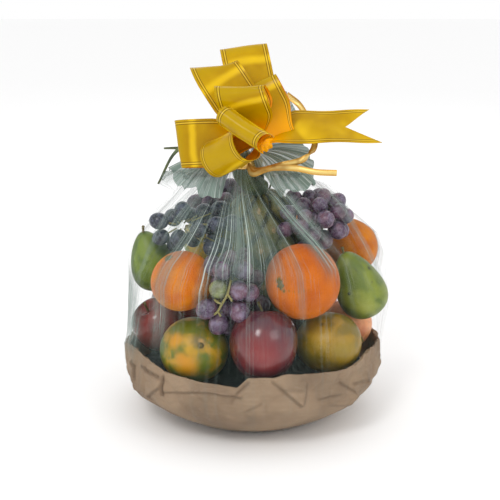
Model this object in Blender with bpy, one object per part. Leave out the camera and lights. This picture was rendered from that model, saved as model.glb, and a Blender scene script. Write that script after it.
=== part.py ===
"""A fruit hamper: a paper-covered tray heaped with fruit, under clear film that is gathered at a neck,
tied with a gold ribbon and finished with a yellow pull bow.

The origin is the middle of the base. +Z is up, and -Y is the front. All lengths are in metres.
"""

import math
import random

import bmesh
import bpy
from mathutils import Vector, noise
from mathutils.bvhtree import BVHTree

# Driving dimensions
GAP = 0.0005  # between neighbouring pieces
FILM_THICKNESS = 0.0006
TRAY_BASE_RADIUS = 0.082
TRAY_RIM_RADIUS = 0.1385
TRAY_WALL = 0.003
BASE_Z = FILM_THICKNESS + GAP  # the tray stands on the film below it
MOUND_EDGE_HEIGHT = 0.046
MOUND_TOP_HEIGHT = 0.091
MOUND_TOP_RADIUS = 0.040
PINEAPPLE_RADIUS = 0.050
PINEAPPLE_HEIGHT = 0.148
PINEAPPLE_FOOT = Vector((0.017, 0.024, 0.0925))
PINEAPPLE_LEAN = Vector((-0.010, -0.009, 0.148))
NECK_CENTRE = Vector((-0.012, 0.0, 0.277))
NECK_RADIUS = 0.0165
NECK_LOW = 0.268
NECK_HIGH = 0.286
CROWN_STEM_RADIUS = 0.0105
TIE_TUBE = 0.0018
RIBBON_WIDTH = 0.049
RIBBON_THICKNESS = 0.0009
CURL_WIDTH = 0.0065
BOW_HEART = Vector((0.010, -0.034, 0.305))

ORANGE = (0.80, 0.32, 0.03, 1.0)
APPLE_RED = (0.28, 0.06, 0.06, 1.0)
MANGO_MOTTLED = (0.38, 0.33, 0.04, 1.0)
MANGO_OLIVE = (0.36, 0.27, 0.05, 1.0)
MANGO_RED = (0.60, 0.20, 0.05, 1.0)
PEAR_GREEN = (0.25, 0.36, 0.07, 1.0)
GRAPE_PURPLE = (0.13, 0.07, 0.13, 1.0)
GRAPE_BLACK = (0.04, 0.04, 0.07, 1.0)
PINEAPPLE_SKIN = (0.21, 0.19, 0.08, 1.0)
LEAF_GREEN = (0.07, 0.14, 0.05, 1.0)
KRAFT = (0.44, 0.30, 0.20, 1.0)
TISSUE = (0.03, 0.04, 0.06, 1.0)
FILM = (0.75, 0.82, 0.78, 0.3)
RIBBON_YELLOW = (0.80, 0.50, 0.02, 1.0)
CURL_GOLD = (0.62, 0.42, 0.10, 1.0)


# ---------------------------------------------------------------- helpers


def clear_scene():
    for old in list(bpy.data.objects):
        bpy.data.objects.remove(old, do_unlink=True)


def material(name, colour, roughness, metallic=0.0):
    made = bpy.data.materials.get(name)
    if made is None:
        made = bpy.data.materials.new(name)
        made.use_nodes = True
        shader = made.node_tree.nodes["Principled BSDF"]
        shader.inputs["Base Color"].default_value = colour[:3] + (1.0,)
        shader.inputs["Roughness"].default_value = roughness
        shader.inputs["Metallic"].default_value = metallic
        shader.inputs["Alpha"].default_value = colour[3]
    return made


def smooth_step(low, high, value):
    t = min(1.0, max(0.0, (value - low) / (high - low)))
    return t * t * (3.0 - 2.0 * t)


def angle_between(a, b):
    """The smallest turn from angle b to angle a, in radians, between -pi and pi."""
    return (a - b + math.pi) % (2.0 * math.pi) - math.pi


def ring_mesh(rings, open_edge=False):
    """A bmesh whose skin joins each ring of points to the next. A ring of one point is a pole.

    Rings that run anticlockwise seen from above, from the bottom up, face outward as they are made.
    """
    bm = bmesh.new()
    rows = [[bm.verts.new(point) for point in ring] for ring in rings]
    for low, high in zip(rows, rows[1:]):
        count = max(len(low), len(high))
        for i in range(count):
            j = (i + 1) % count
            corners = []
            for vert in (low[i % len(low)], low[j % len(low)], high[j % len(high)], high[i % len(high)]):
                if vert not in corners:
                    corners.append(vert)
            bm.faces.new(corners)
    if not open_edge:
        bmesh.ops.recalc_face_normals(bm, faces=bm.faces)
    return bm


def add_object(name, bm, finish, sharp_angle=None):
    mesh = bpy.data.meshes.new(name)
    bm.to_mesh(mesh)
    bm.free()
    mesh.materials.append(finish)
    mesh.shade_smooth()
    if sharp_angle is not None:
        mesh.set_sharp_from_angle(angle=math.radians(sharp_angle))
    made = bpy.data.objects.new(name, mesh)
    bpy.context.scene.collection.objects.link(made)
    return made


def world_tree(made):
    """The object's surface in world space, for distances and rays."""
    place = made.matrix_world
    points = [place @ vert.co for vert in made.data.vertices]
    return BVHTree.FromPolygons(points, [tuple(face.vertices) for face in made.data.polygons])


def depth_inside(tree, point):
    """How far a point is outside a closed surface, negative inside it."""
    nearest, normal, _, distance = tree.find_nearest(point)
    return distance if (point - nearest).dot(normal) >= 0.0 else -distance


def clear_of(trees, point, reach):
    return all(depth_inside(tree, point) >= reach for tree in trees)


def fuse(core, pieces):
    """Joins closed pieces to the core with one Boolean union, and removes them."""
    group = bpy.data.collections.new(core.name + "_pieces")
    bpy.context.scene.collection.children.link(group)
    for piece in pieces:
        bpy.context.scene.collection.objects.unlink(piece)
        group.objects.link(piece)
    union = core.modifiers.new("union", "BOOLEAN")
    union.operation = "UNION"
    union.operand_type = "COLLECTION"
    union.collection = group
    union.solver = "MANIFOLD"
    bpy.context.view_layer.update()
    graph = bpy.context.evaluated_depsgraph_get()
    fused = bpy.data.meshes.new_from_object(core.evaluated_get(graph))
    core.modifiers.clear()
    core.data = fused
    for piece in pieces:
        bpy.data.objects.remove(piece, do_unlink=True)
    bpy.data.collections.remove(group)
    return core


# ---------------------------------------------------------------- tray, paper and packing

# The paper's folds: (angle in degrees, half width in degrees, lowest z, highest z, lift)
PAPER_FOLDS = (
    (-152.0, 11.0, 0.020, 0.066, 0.0040),
    (-128.0, 13.0, 0.030, 0.074, 0.0018),
    (-97.0, 12.0, 0.038, 0.076, 0.0014),
    (-72.0, 9.0, 0.034, 0.072, 0.0020),
    (-42.0, 14.0, 0.022, 0.068, 0.0026),
    (28.0, 12.0, 0.020, 0.064, 0.0034),
    (64.0, 13.0, 0.030, 0.070, 0.0020),
    (112.0, 14.0, 0.024, 0.072, 0.0022),
    (148.0, 12.0, 0.020, 0.066, 0.0036),
)


# The paper's top edge, which stands up where a corner of the sheet is folded: (angle in degrees, height)
RIM_HEIGHTS = (
    (-180.0, 0.071),
    (-154.0, 0.088),
    (-131.0, 0.080),
    (-98.0, 0.0755),
    (-89.0, 0.086),
    (-74.0, 0.088),
    (-46.0, 0.080),
    (-27.0, 0.088),
    (0.0, 0.078),
    (40.0, 0.072),
    (84.0, 0.080),
    (118.0, 0.084),
    (146.0, 0.074),
)


def between_rows(rows, degrees):
    """The values of a table whose first column is an angle from -180 up, eased between its rows all the
    way round."""
    rows = list(rows) + [(rows[0][0] + 360.0,) + rows[0][1:]]
    for before, after in zip(rows, rows[1:]):
        if before[0] <= degrees <= after[0]:
            t = smooth_step(before[0], after[0], degrees)
            return [low + (high - low) * t for low, high in zip(before[1:], after[1:])]
    return list(rows[0][1:])


def rim_height(angle):
    return between_rows(RIM_HEIGHTS, math.degrees(angle_between(angle, 0.0)))[0]


def tray_radius(z):
    """The outer wall: a shallow cone that turns up into a nearly straight side."""
    rise = min(1.0, z / 0.058)
    return TRAY_BASE_RADIUS + (TRAY_RIM_RADIUS - TRAY_BASE_RADIUS) * (1.0 - (1.0 - rise) ** 2.3)


def fold_lift(angle, z):
    lift = 0.0
    for centre, half_width, low, high, height in PAPER_FOLDS:
        side = abs(angle_between(angle, math.radians(centre))) / math.radians(half_width)
        level = (z - low) / (high - low)
        if side < 1.0 and 0.0 < level < 1.0:
            lift = max(lift, height * (1.0 - side) * math.sin(math.pi * level) ** 0.5)
    return lift


def add_tray():
    segments = 42
    angles = [2.0 * math.pi * i / segments for i in range(segments)]
    paper = material("paper", KRAFT, 0.85)
    levels = (0.0, 0.10, 0.22, 0.38, 0.56, 0.76, 1.0)

    def ring(level, inset, floor):
        points = []
        for angle in angles:
            z = floor + (rim_height(angle) - floor) * level
            radius = tray_radius(z - floor) - inset
            if inset == 0.0:
                radius += fold_lift(angle, z)
            points.append(Vector((radius * math.cos(angle), radius * math.sin(angle), z)))
        return points

    outside = [ring(level, 0.0, BASE_Z) for level in levels]
    inside_floor = BASE_Z + TRAY_WALL
    inside = [ring(level, TRAY_WALL, inside_floor) for level in (1.0, 0.56, 0.22, 0.0)]
    for point in inside[0]:
        point.z -= TRAY_WALL
    rings = [[Vector((0.0, 0.0, BASE_Z))]] + outside + inside + [[Vector((0.0, 0.0, inside_floor))]]
    return add_object("tray", ring_mesh(rings), paper, 35)


def add_packing():
    """Dark tissue that fills the tray below the fruit and stands up in the middle below the pineapple."""
    segments = 20
    tissue = material("tissue", TISSUE, 0.9)
    floor = BASE_Z + TRAY_WALL + GAP
    outline = [
        (tray_radius(0.0) - TRAY_WALL - 0.004, floor),
        (tray_radius(0.014) - TRAY_WALL - 0.006, floor + 0.014),
        (tray_radius(0.030) - TRAY_WALL - 0.006, floor + 0.030),
        (tray_radius(0.040) - TRAY_WALL - 0.006, MOUND_EDGE_HEIGHT),
        (0.085, MOUND_EDGE_HEIGHT + 0.003),
        (0.058, MOUND_EDGE_HEIGHT + 0.009),
        (MOUND_TOP_RADIUS + 0.006, 0.074),
        (MOUND_TOP_RADIUS - 0.006, MOUND_TOP_HEIGHT),
    ]
    rings = [[Vector((0.0, 0.0, floor))]]
    for radius, z in outline:
        ring = []
        for i in range(segments):
            angle = 2.0 * math.pi * i / segments
            crumple = 0.0016 * math.sin(7.0 * angle + 40.0 * z / MOUND_TOP_HEIGHT)
            sunk = 0.0 if z == floor else min(crumple, 0.0) * 2.0
            ring.append(Vector(((radius + sunk) * math.cos(angle), (radius + sunk) * math.sin(angle), z)))
        rings.append(ring)
    rings.append([Vector((0.0, 0.0, MOUND_TOP_HEIGHT))])
    return add_object("packing", ring_mesh(rings), tissue)


# ---------------------------------------------------------------- fruit


def orange_form(tilt, turn):
    """A little flatter than a ball, with a dimple where the stem was. tilt is the angle from the stem."""
    radius = 1.0 - 0.07 * math.exp(-((tilt / 0.24) ** 2)) - 0.03 * math.exp(-(((math.pi - tilt) / 0.3) ** 2))
    return Vector((
        radius * math.sin(tilt) * math.cos(turn),
        radius * math.sin(tilt) * math.sin(turn),
        0.95 * radius * math.cos(tilt),
    ))


def apple_form(tilt, turn):
    """Broad shoulders round a stem hollow, five low ribs, and a shallow hollow below."""
    rib = 1.0 + 0.018 * math.cos(5.0 * turn) * (1.0 - math.cos(tilt)) / 2.0
    width = math.sin(tilt) * (1.0 + 0.06 * math.cos(tilt)) * rib
    height = 1.16 * math.cos(tilt)
    height -= 0.30 * math.exp(-((tilt / 0.36) ** 2))
    height += 0.14 * math.exp(-(((math.pi - tilt) / 0.40) ** 2))
    return Vector((width * math.cos(turn), width * math.sin(turn), height))


def pear_form(tilt, turn):
    """A round belly that narrows to a blunt neck at the stem."""
    neck = (1.0 + math.cos(tilt)) / 2.0
    width = math.sin(tilt) ** 0.92 * (1.0 - 0.40 * neck ** 1.3)
    height = 0.98 * math.cos(tilt) + 0.42 * neck ** 2
    return Vector((width * math.cos(turn), width * math.sin(turn), height))


def mango_form(tilt, turn):
    """An egg with one full shoulder and slightly flat cheeks."""
    shoulder = 0.07 * math.sin(tilt) ** 2 * math.cos(turn) * math.cos(tilt)
    return Vector((
        math.sin(tilt) * math.cos(turn) + shoulder,
        0.97 * math.sin(tilt) * math.sin(turn),
        1.08 * math.cos(tilt),
    ))


def add_fruit(name, form, radius, spot, stem_towards, finish, stretch=1.0):
    """One fruit of the given form. stem_towards is the direction in which its stem end points."""
    segments, rows = 14, 8
    uneven = Vector((len(name) * 3.7, radius * 900.0, spot[0] * 60.0))
    rings = [[form(0.0, 0.0)]]
    for row in range(1, rows):
        tilt = math.pi * row / rows
        rings.append([form(tilt, 2.0 * math.pi * i / segments) for i in range(segments)])
    rings.append([form(math.pi, 0.0)])
    for ring in rings:
        for i, point in enumerate(ring):
            swell = 1.0 + 0.025 * noise.noise(point * 1.1 + uneven)
            ring[i] = Vector((point.x, point.y, point.z * stretch)) * radius * swell
    fruit = add_object(name, ring_mesh(rings), finish)
    fruit.rotation_euler = Vector(stem_towards).to_track_quat("Z", "Y").to_euler()
    fruit.location = spot
    return fruit


def add_all_fruit():
    orange = material("orange_peel", ORANGE, 0.45)
    apple = material("apple_skin", APPLE_RED, 0.3)
    mottled = material("mango_mottled_skin", MANGO_MOTTLED, 0.4)
    olive = material("mango_olive_skin", MANGO_OLIVE, 0.4)
    ruddy = material("mango_red_skin", MANGO_RED, 0.4)
    pear = material("pear_skin", PEAR_GREEN, 0.4)
    return [
        # the lower layer, round the tray
        add_fruit("mango_front_left", mango_form, 0.0358, (-0.062, -0.073, 0.0905), (0.2, -0.85, 0.45), mottled),
        add_fruit("apple_front", apple_form, 0.0348, (0.011, -0.097, 0.1065), (0.0, 0.35, 0.94), apple),
        add_fruit("mango_front_right", mango_form, 0.0330, (0.080, -0.060, 0.0942), (0.9, -0.1, 0.1), olive),
        add_fruit("mango_right", mango_form, 0.0280, (0.1055, 0.016, 0.0860), (0.2, 0.8, 0.3), ruddy),
        add_fruit("apple_back_right", apple_form, 0.0345, (0.064, 0.080, 0.0885), (0.2, 0.3, 0.9), apple),
        add_fruit("mango_back", mango_form, 0.0335, (-0.013, 0.100, 0.0870), (0.8, 0.2, 0.2), olive),
        add_fruit("apple_back_left", apple_form, 0.0340, (-0.083, 0.066, 0.0875), (-0.3, 0.1, 0.9), apple),
        add_fruit("apple_left", apple_form, 0.0285, (-0.1025, -0.006, 0.0930), (-0.5, -0.3, 0.8), apple),
        # the upper layer, round the pineapple
        add_fruit("orange_front_left", orange_form, 0.0328, (-0.0737, -0.064, 0.1640), (-0.55, -0.55, 0.60), orange),
        add_fruit("orange_front_right", orange_form, 0.0392, (0.051, -0.078, 0.1680), (-0.47, -0.86, 0.20), orange),
        add_fruit("pear_right", pear_form, 0.0318, (0.1165, -0.016, 0.1385), (-0.42, -0.05, 0.90), pear, 1.04),
        add_fruit("orange_back_right", orange_form, 0.0315, (0.1100, 0.047, 0.1690), (0.5, 0.3, 0.7), orange),
        add_fruit("orange_back", orange_form, 0.0350, (0.043, 0.099, 0.1605), (0.1, 0.8, 0.5), orange),
        add_fruit("mango_back_high", mango_form, 0.0330, (-0.046, 0.096, 0.1580), (-0.8, 0.1, 0.4), mottled),
        add_fruit("pear_left", pear_form, 0.0290, (-0.1095, 0.013, 0.1570), (-0.25, -0.10, 0.95), pear, 1.0),
    ]


def add_pineapple():
    """The pineapple's body: a barrel of rows of raised eyes that wind round it both ways."""
    segments, rows = 24, 13
    rings = [[Vector((0.0, 0.0, -0.5 * PINEAPPLE_HEIGHT))]]
    for row in range(1, rows):
        tilt = math.pi * row / rows
        z = -0.5 * PINEAPPLE_HEIGHT * math.cos(tilt)
        girth = math.sin(tilt) ** 0.55 * (1.0 - 0.16 * row / rows)
        ring = []
        for i in range(segments):
            turn = 2.0 * math.pi * (i + 0.5 * (row % 2)) / segments
            eye = 0.5 + 0.5 * math.cos(math.pi * (i + row)) * math.sin(tilt)
            radius = (PINEAPPLE_RADIUS - 0.0022 * eye) * girth
            ring.append(Vector((radius * math.cos(turn), radius * math.sin(turn), z)))
        rings.append(ring)
    rings.append([Vector((0.0, 0.0, 0.5 * PINEAPPLE_HEIGHT))])
    body = add_object("pineapple", ring_mesh(rings), material("pineapple_skin", PINEAPPLE_SKIN, 0.7))
    body.rotation_euler = PINEAPPLE_LEAN.to_track_quat("Z", "Y").to_euler()
    body.location = PINEAPPLE_FOOT + PINEAPPLE_LEAN * 0.5
    return body


# ---------------------------------------------------------------- grapes

# Each bunch: name, middle, half sizes, grape radius, how many directions are tried, skin
BUNCHES = (
    ("grapes_front", (-0.026, -0.079, 0.156), (0.024, 0.023, 0.036), 0.0102, 90, "purple"),
    ("grapes_left", (-0.076, -0.014, 0.210), (0.036, 0.028, 0.019), 0.0100, 130, "black"),
    ("grapes_right", (0.073, 0.002, 0.214), (0.026, 0.032, 0.023), 0.0102, 80, "purple"),
    ("grapes_back", (-0.030, 0.076, 0.209), (0.034, 0.024, 0.020), 0.0106, 70, "purple"),
)


def add_ball(name, radius, spot, finish, segments=6, rows=4, scale=(1.0, 1.0, 1.0)):
    rings = [[Vector((0.0, 0.0, 1.0))]]
    for row in range(1, rows):
        tilt = math.pi * row / rows
        rings.append([
            Vector((math.sin(tilt) * math.cos(turn), math.sin(tilt) * math.sin(turn), math.cos(tilt)))
            for turn in (2.0 * math.pi * (i + 0.5 * (row % 2)) / segments for i in range(segments))
        ])
    rings.append([Vector((0.0, 0.0, -1.0))])
    for ring in rings:
        for i, point in enumerate(ring):
            ring[i] = Vector(spot) + Vector([radius * point[k] * scale[k] for k in range(3)])
    return add_object(name, ring_mesh(rings), finish)


def spread_directions(count):
    """Directions spread evenly over a ball, by the golden angle."""
    golden = math.pi * (3.0 - math.sqrt(5.0))
    for i in range(count):
        z = 1.0 - 2.0 * (i + 0.5) / count
        ring = math.sqrt(1.0 - z * z)
        yield Vector((ring * math.cos(golden * i), ring * math.sin(golden * i), z))


def add_bunch(row, trees, draw):
    """Grapes over a smaller core, moved aside or left out where they would meet another piece."""
    name, middle, half, grape, tries, skin = row
    colour = GRAPE_BLACK if skin == "black" else GRAPE_PURPLE
    finish = material("grape_" + skin + "_skin", colour, 0.35)
    middle = Vector(middle)
    core_scale = [(size - 0.45 * grape) / half[0] for size in half]
    core = add_ball(name, half[0], middle, finish, 10, 6, core_scale)
    core_tree = world_tree(core)
    placed = []
    outward = Vector((middle.x, middle.y, 0.0)).normalized()
    for way in spread_directions(tries):
        radius = grape * draw.uniform(0.86, 1.10)
        if way.dot(outward) < -0.45 or way.z < -0.8:
            continue
        for pull in (1.0, 0.93, 0.86, 0.79, 0.72, 0.65):
            spot = middle + Vector([way[k] * half[k] * pull for k in range(3)])
            if not clear_of(trees, spot, radius + GAP) or depth_inside(core_tree, spot) > 0.45 * radius:
                continue
            if any((spot - other).length < radius + size + GAP for other, size in placed):
                continue
            placed.append((spot, radius))
            break
    grapes = [add_ball(f"{name}_{i}", size, spot, finish) for i, (spot, size) in enumerate(placed)]
    return fuse(core, grapes)


# ---------------------------------------------------------------- strips: leaves and ribbons


def smooth_path(points, count):
    """Points along a curve through the given ones (Catmull-Rom)."""
    points = [Vector(point) for point in points]
    ends = [2.0 * points[0] - points[1]] + points + [2.0 * points[-1] - points[-2]]
    path = []
    for i in range(count):
        place = i * (len(points) - 1) / (count - 1)
        k = min(int(place), len(points) - 2)
        t = place - k
        a, b, c, d = ends[k : k + 4]
        path.append(
            0.5 * (2.0 * b + (c - a) * t + (2.0 * a - 5.0 * b + 4.0 * c - d) * t * t
                   + (3.0 * b - a - 3.0 * c + d) * t * t * t)
        )
    return path


def strip(name, path, across, edges, thickness, finish):
    """A flat closed strip along a path. across gives its sideways direction and edges how far its two
    edges lie to either side of the path, both as functions of how far along it is, 0 to 1."""
    rings = []
    last = len(path) - 1
    for i, point in enumerate(path):
        along = (path[min(i + 1, last)] - path[max(i - 1, 0)]).normalized()
        side = Vector(across(i / last))
        side = (side - along * side.dot(along)).normalized()
        up = along.cross(side) * 0.5 * thickness
        low, high = edges(i / last)
        rings.append([
            point + side * low - up, point + side * high - up, point + side * high + up, point + side * low + up,
        ])
    bm = ring_mesh(rings)
    bm.verts.ensure_lookup_table()
    bm.faces.new([bm.verts[i] for i in range(4)])
    bm.faces.new([bm.verts[i] for i in range(4 * last, 4 * last + 4)])
    bmesh.ops.recalc_face_normals(bm, faces=bm.faces)
    return add_object(name, bm, finish, 40)


def even(width):
    """Edges at equal distances from the path."""
    return -0.5 * width, 0.5 * width


# ---------------------------------------------------------------- the pineapple's crown

# Leaves that come out of the neck: (points from the stem's top, width)
CROWN_LEAVES = (
    (((-0.004, 0.000, 0.002), (-0.030, 0.006, 0.006), (-0.058, 0.009, -0.002), (-0.083, 0.009, -0.003)), 0.010),
    (((-0.003, -0.003, 0.002), (-0.034, -0.006, 0.010), (-0.068, -0.009, -0.002), (-0.089, -0.008, -0.038)), 0.009),
    (((-0.002, 0.004, 0.002), (-0.018, 0.020, 0.014), (-0.036, 0.036, 0.018), (-0.054, 0.046, 0.010)), 0.011),
    (((0.004, -0.001, 0.002), (0.026, 0.002, 0.010), (0.044, 0.006, 0.010), (0.058, 0.008, 0.004)), 0.010),
    (((0.001, 0.004, 0.002), (0.002, 0.020, 0.014), (0.006, 0.038, 0.026), (0.010, 0.056, 0.030)), 0.012),
)
LEAF_TILT = Vector((0.0, -0.5, 0.87))


def add_crown():
    """The crown: its stem runs up through the neck of the film, and its leaves bend out above."""
    leaf = material("crown_leaf", LEAF_GREEN, 0.55)
    foot = PINEAPPLE_FOOT + PINEAPPLE_LEAN * (1.0 + 2.0 * GAP / PINEAPPLE_LEAN.length)
    top = Vector((NECK_CENTRE.x, NECK_CENTRE.y, NECK_HIGH + 0.006))
    stem_path = smooth_path((
        foot, Vector((-0.006, 0.005, 0.256)), Vector((NECK_CENTRE.x, NECK_CENTRE.y, NECK_LOW)), top,
    ), 6)
    sides = 10
    rings = [[stem_path[0]]]
    for i, point in enumerate(stem_path):
        radius = CROWN_STEM_RADIUS * (1.2 - 0.2 * min(1.0, i / 3.0)) * (0.75 if i == 5 else 1.0)
        lift = 0.0005 if i == 0 else 0.0
        rings.append([
            point + Vector((radius * math.cos(a), radius * math.sin(a), lift))
            for a in (2.0 * math.pi * k / sides for k in range(sides))
        ])
    rings.append([stem_path[-1] + Vector((0.0, 0.0, 0.003))])
    stem = add_object("pineapple_crown", ring_mesh(rings), leaf)
    leaves = []
    for i, (points, width) in enumerate(CROWN_LEAVES):
        path = smooth_path([top + Vector(point) for point in points], 6)
        flat = (path[-1] - path[0]).cross(LEAF_TILT)
        leaves.append(strip(
            f"crown_leaf_{i}", path, lambda t, flat=flat: flat,
            lambda t, width=width: even(width * (1.0 - 0.9 * t ** 1.5)), 0.0012, leaf,
        ))
    return fuse(stem, leaves)


# ---------------------------------------------------------------- film

FILM_SEGMENTS = 28
FILM_MARGIN = 0.0020
FILM_LEVELS = (
    0.006, 0.018, 0.036, 0.056, 0.078, 0.100, 0.122, 0.144, 0.166, 0.188, 0.208, 0.226, 0.238, 0.248, 0.259,
)
SHOULDER_HEIGHT = 0.248
SHOULDER_RIGHT = 0.094
SHOULDER_LEFT = 0.062
PLEATS = 10
# The cut edge of the film above the tie: (angle in degrees, distance from the neck's middle, height)
FRILL_EDGE = (
    (-180.0, 0.076, 0.264),
    (-150.0, 0.062, 0.258),
    (-120.0, 0.034, 0.262),
    (-96.0, 0.022, 0.284),
    (-62.0, 0.023, 0.286),
    (-38.0, 0.050, 0.256),
    (-14.0, 0.078, 0.266),
    (12.0, 0.072, 0.282),
    (42.0, 0.066, 0.336),
    (90.0, 0.050, 0.296),
    (135.0, 0.058, 0.276),
)


def film_middle(z):
    """The film's own axis bends from the tray's middle to the neck."""
    shift = smooth_step(0.19, NECK_LOW, z)
    return Vector((NECK_CENTRE.x * shift, NECK_CENTRE.y * shift, z))


def outermost(trees, middle, angle):
    """How far from the axis the contents reach at one height and angle."""
    way = Vector((math.cos(angle), math.sin(angle), 0.0))
    start = middle + way * 0.3
    reach = 0.0
    for tree in trees:
        hit = tree.ray_cast(start, -way, 0.3)
        if hit[0] is not None:
            reach = max(reach, 0.3 - hit[3])
    return reach


def taut_profile(heights, radii):
    """The lowest profile without hollows that clears the given radii: a film drawn tight up and down."""
    hull = []
    for point in zip(heights, radii):
        while len(hull) >= 2:
            (z0, r0), (z1, r1) = hull[-2], hull[-1]
            if (r1 - r0) * (point[0] - z0) <= (point[1] - r0) * (z1 - z0):
                hull.pop()
            else:
                break
        hull.append(point)
    taut = []
    k = 0
    for z in heights:
        while k < len(hull) - 2 and hull[k + 1][0] < z:
            k += 1
        (z0, r0), (z1, r1) = hull[k], hull[k + 1]
        taut.append(r0 + (r1 - r0) * (z - z0) / (z1 - z0))
    return taut


def frill_edge(angle):
    """The reach and height of the frill's cut edge at an angle in radians."""
    return between_rows(FRILL_EDGE, math.degrees(angle_between(angle, 0.0)))


def shoulder(angle):
    side = math.cos(angle)
    spread = SHOULDER_RIGHT if side > 0.0 else SHOULDER_LEFT
    return NECK_RADIUS + (spread - NECK_RADIUS) * abs(side) ** 4


def film_radii(trees):
    """For each angle, the film's distance from its axis at each of FILM_LEVELS."""
    finer = 3
    count = FILM_SEGMENTS * finer
    heights = [0.0]
    for low, high in zip(FILM_LEVELS, FILM_LEVELS[1:]):
        heights += [low, (2.0 * low + high) / 3.0, (low + 2.0 * high) / 3.0]
    heights += [FILM_LEVELS[-1], NECK_LOW]
    grid = []
    for i in range(count):
        angle = 2.0 * math.pi * i / count
        radii = [TRAY_BASE_RADIUS + FILM_MARGIN]
        for z in heights[1:-1]:
            reach = outermost(trees, film_middle(z), angle) + FILM_MARGIN
            if abs(z - SHOULDER_HEIGHT) < 0.005:
                reach = max(reach, shoulder(angle))
            radii.append(reach)
        radii.append(NECK_RADIUS)
        grid.append(taut_profile(heights, radii))
    for _ in range(12):
        grid = [
            [max(own, 0.5 * (left + right)) for own, left, right in zip(grid[i], grid[i - 1], grid[(i + 1) % count])]
            for i in range(count)
        ]
    picked = []
    for i in range(FILM_SEGMENTS):
        near = [grid[(i * finer + k) % count] for k in (-1, 0, 1)]
        rows = [heights.index(level) for level in FILM_LEVELS]
        picked.append([max(column[row] for column in near) for row in rows])
    return picked


def film_rings(radii):
    """The rings of the film from the middle of the base up to the frill's edge."""
    angles = [2.0 * math.pi * i / FILM_SEGMENTS for i in range(FILM_SEGMENTS)]

    def around(middle, radius_at):
        return [
            middle + Vector((math.cos(a), math.sin(a), 0.0)) * radius_at(i, a) for i, a in enumerate(angles)
        ]

    rings = [[Vector((0.0, 0.0, 0.0))]]
    rings.append(around(Vector((0.0, 0.0, 0.0)), lambda i, a: TRAY_BASE_RADIUS + FILM_MARGIN))
    for row, z in enumerate(FILM_LEVELS):
        rings.append(around(film_middle(z), lambda i, a: radii[i][row]))
    for z in (NECK_LOW, NECK_HIGH):
        rings.append(around(film_middle(z), lambda i, a: NECK_RADIUS + 0.0009 * math.cos(PLEATS * a)))
    for s in (0.2, 0.5, 0.8, 1.0):
        ring = []
        for a in angles:
            reach, height = frill_edge(a)
            ruffle = 0.0040 * s * math.cos(PLEATS * a)
            radius = NECK_RADIUS + (reach - NECK_RADIUS) * s
            z = NECK_HIGH + (height - NECK_HIGH) * s ** 1.4 + 0.004 * math.sin(math.pi * s ** 0.7)
            ring.append(Vector((
                NECK_CENTRE.x + radius * math.cos(a), NECK_CENTRE.y + radius * math.sin(a), z + ruffle + 0.004 * s,
            )))
        rings.append(ring)
    return rings


def add_film(contents):
    """One sheet: under the tray, up over the fruit, through the neck and out into the frill."""
    trees = [world_tree(piece) for piece in contents]
    radii = film_radii(trees)
    for _ in range(30):
        skin = ring_mesh(film_rings(radii), open_edge=True)
        tree = BVHTree.FromBMesh(skin)
        skin.faces.index_update()
        skin.verts.index_update()
        skin.faces.ensure_lookup_table()
        touched = {pair[0] for other in trees for pair in tree.overlap(other)}
        pushed = set()
        for index in touched:
            for vert in skin.faces[index].verts:
                ring, segment = divmod(vert.index - 1 - FILM_SEGMENTS, FILM_SEGMENTS)
                if 0 <= ring < len(FILM_LEVELS):
                    pushed.add((segment, ring))
        skin.free()
        if not pushed:
            break
        for segment, ring in pushed:
            radii[segment][ring] += 0.0007
    for column in radii:
        for ring in range(len(FILM_LEVELS)):
            column[ring] += FILM_THICKNESS + 0.0004
    film = add_object("film_wrap", ring_mesh(film_rings(radii), open_edge=True), material("film", FILM, 0.15))
    wall = film.modifiers.new("wall", "SOLIDIFY")
    wall.thickness = FILM_THICKNESS
    wall.offset = -1.0
    return film


# ---------------------------------------------------------------- tie, curls and bow


# The tie's two curled ends, from where they leave the neck
FRONT_CURL = (
    (0.000, 0.000, 0.000), (0.006, -0.013, -0.006), (0.024, -0.026, 0.003), (0.048, -0.026, 0.003),
    (0.070, -0.022, -0.002), (0.092, -0.018, -0.004),
)
BACK_CURL = (
    (0.000, 0.000, 0.000), (0.010, -0.012, -0.003), (0.034, -0.018, 0.004), (0.058, -0.014, 0.010),
    (0.070, 0.002, 0.022), (0.064, 0.020, 0.042), (0.055, 0.028, 0.058), (0.041, 0.026, 0.070),
)


def add_tie():
    """A narrow gold ribbon wound round the neck, with two curled ends."""
    gold = material("curl_ribbon", CURL_GOLD, 0.3, 0.4)
    ring_radius = NECK_RADIUS + 0.0035 + TIE_TUBE
    segments, sides = 20, 6
    rings = []
    for i in range(segments):
        a = 2.0 * math.pi * i / segments
        out = Vector((math.cos(a), math.sin(a), 0.0))
        rings.append([
            NECK_CENTRE + out * (ring_radius + TIE_TUBE * math.cos(b)) + Vector((0.0, 0.0, 1.6 * TIE_TUBE * math.sin(b)))
            for b in (2.0 * math.pi * k / sides for k in range(sides))
        ])
    tie = add_object("gold_tie", ring_mesh(rings + [rings[0]]), gold)
    bm = bmesh.new()
    bm.from_mesh(tie.data)
    bmesh.ops.remove_doubles(bm, verts=bm.verts, dist=1e-6)
    bmesh.ops.recalc_face_normals(bm, faces=bm.faces)
    bm.to_mesh(tie.data)
    bm.free()
    start = NECK_CENTRE + Vector((0.30, -0.95, 0.0)) * ring_radius
    front_curl = smooth_path([start + Vector(point) for point in FRONT_CURL], 13)
    back_curl = smooth_path([start + Vector(point) for point in BACK_CURL], 16)
    curls = [
        strip("front_curl", front_curl, lambda t: (0.2, 0.5 - 0.8 * t, 1.0 - 1.4 * abs(t - 0.35)),
              lambda t: even(CURL_WIDTH), 0.0007, gold),
        strip("back_curl", back_curl, lambda t: (0.3, 1.0, 0.6 * math.cos(9.0 * t)),
              lambda t: even(CURL_WIDTH), 0.0007, gold),
    ]
    return fuse(tie, curls)


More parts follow.
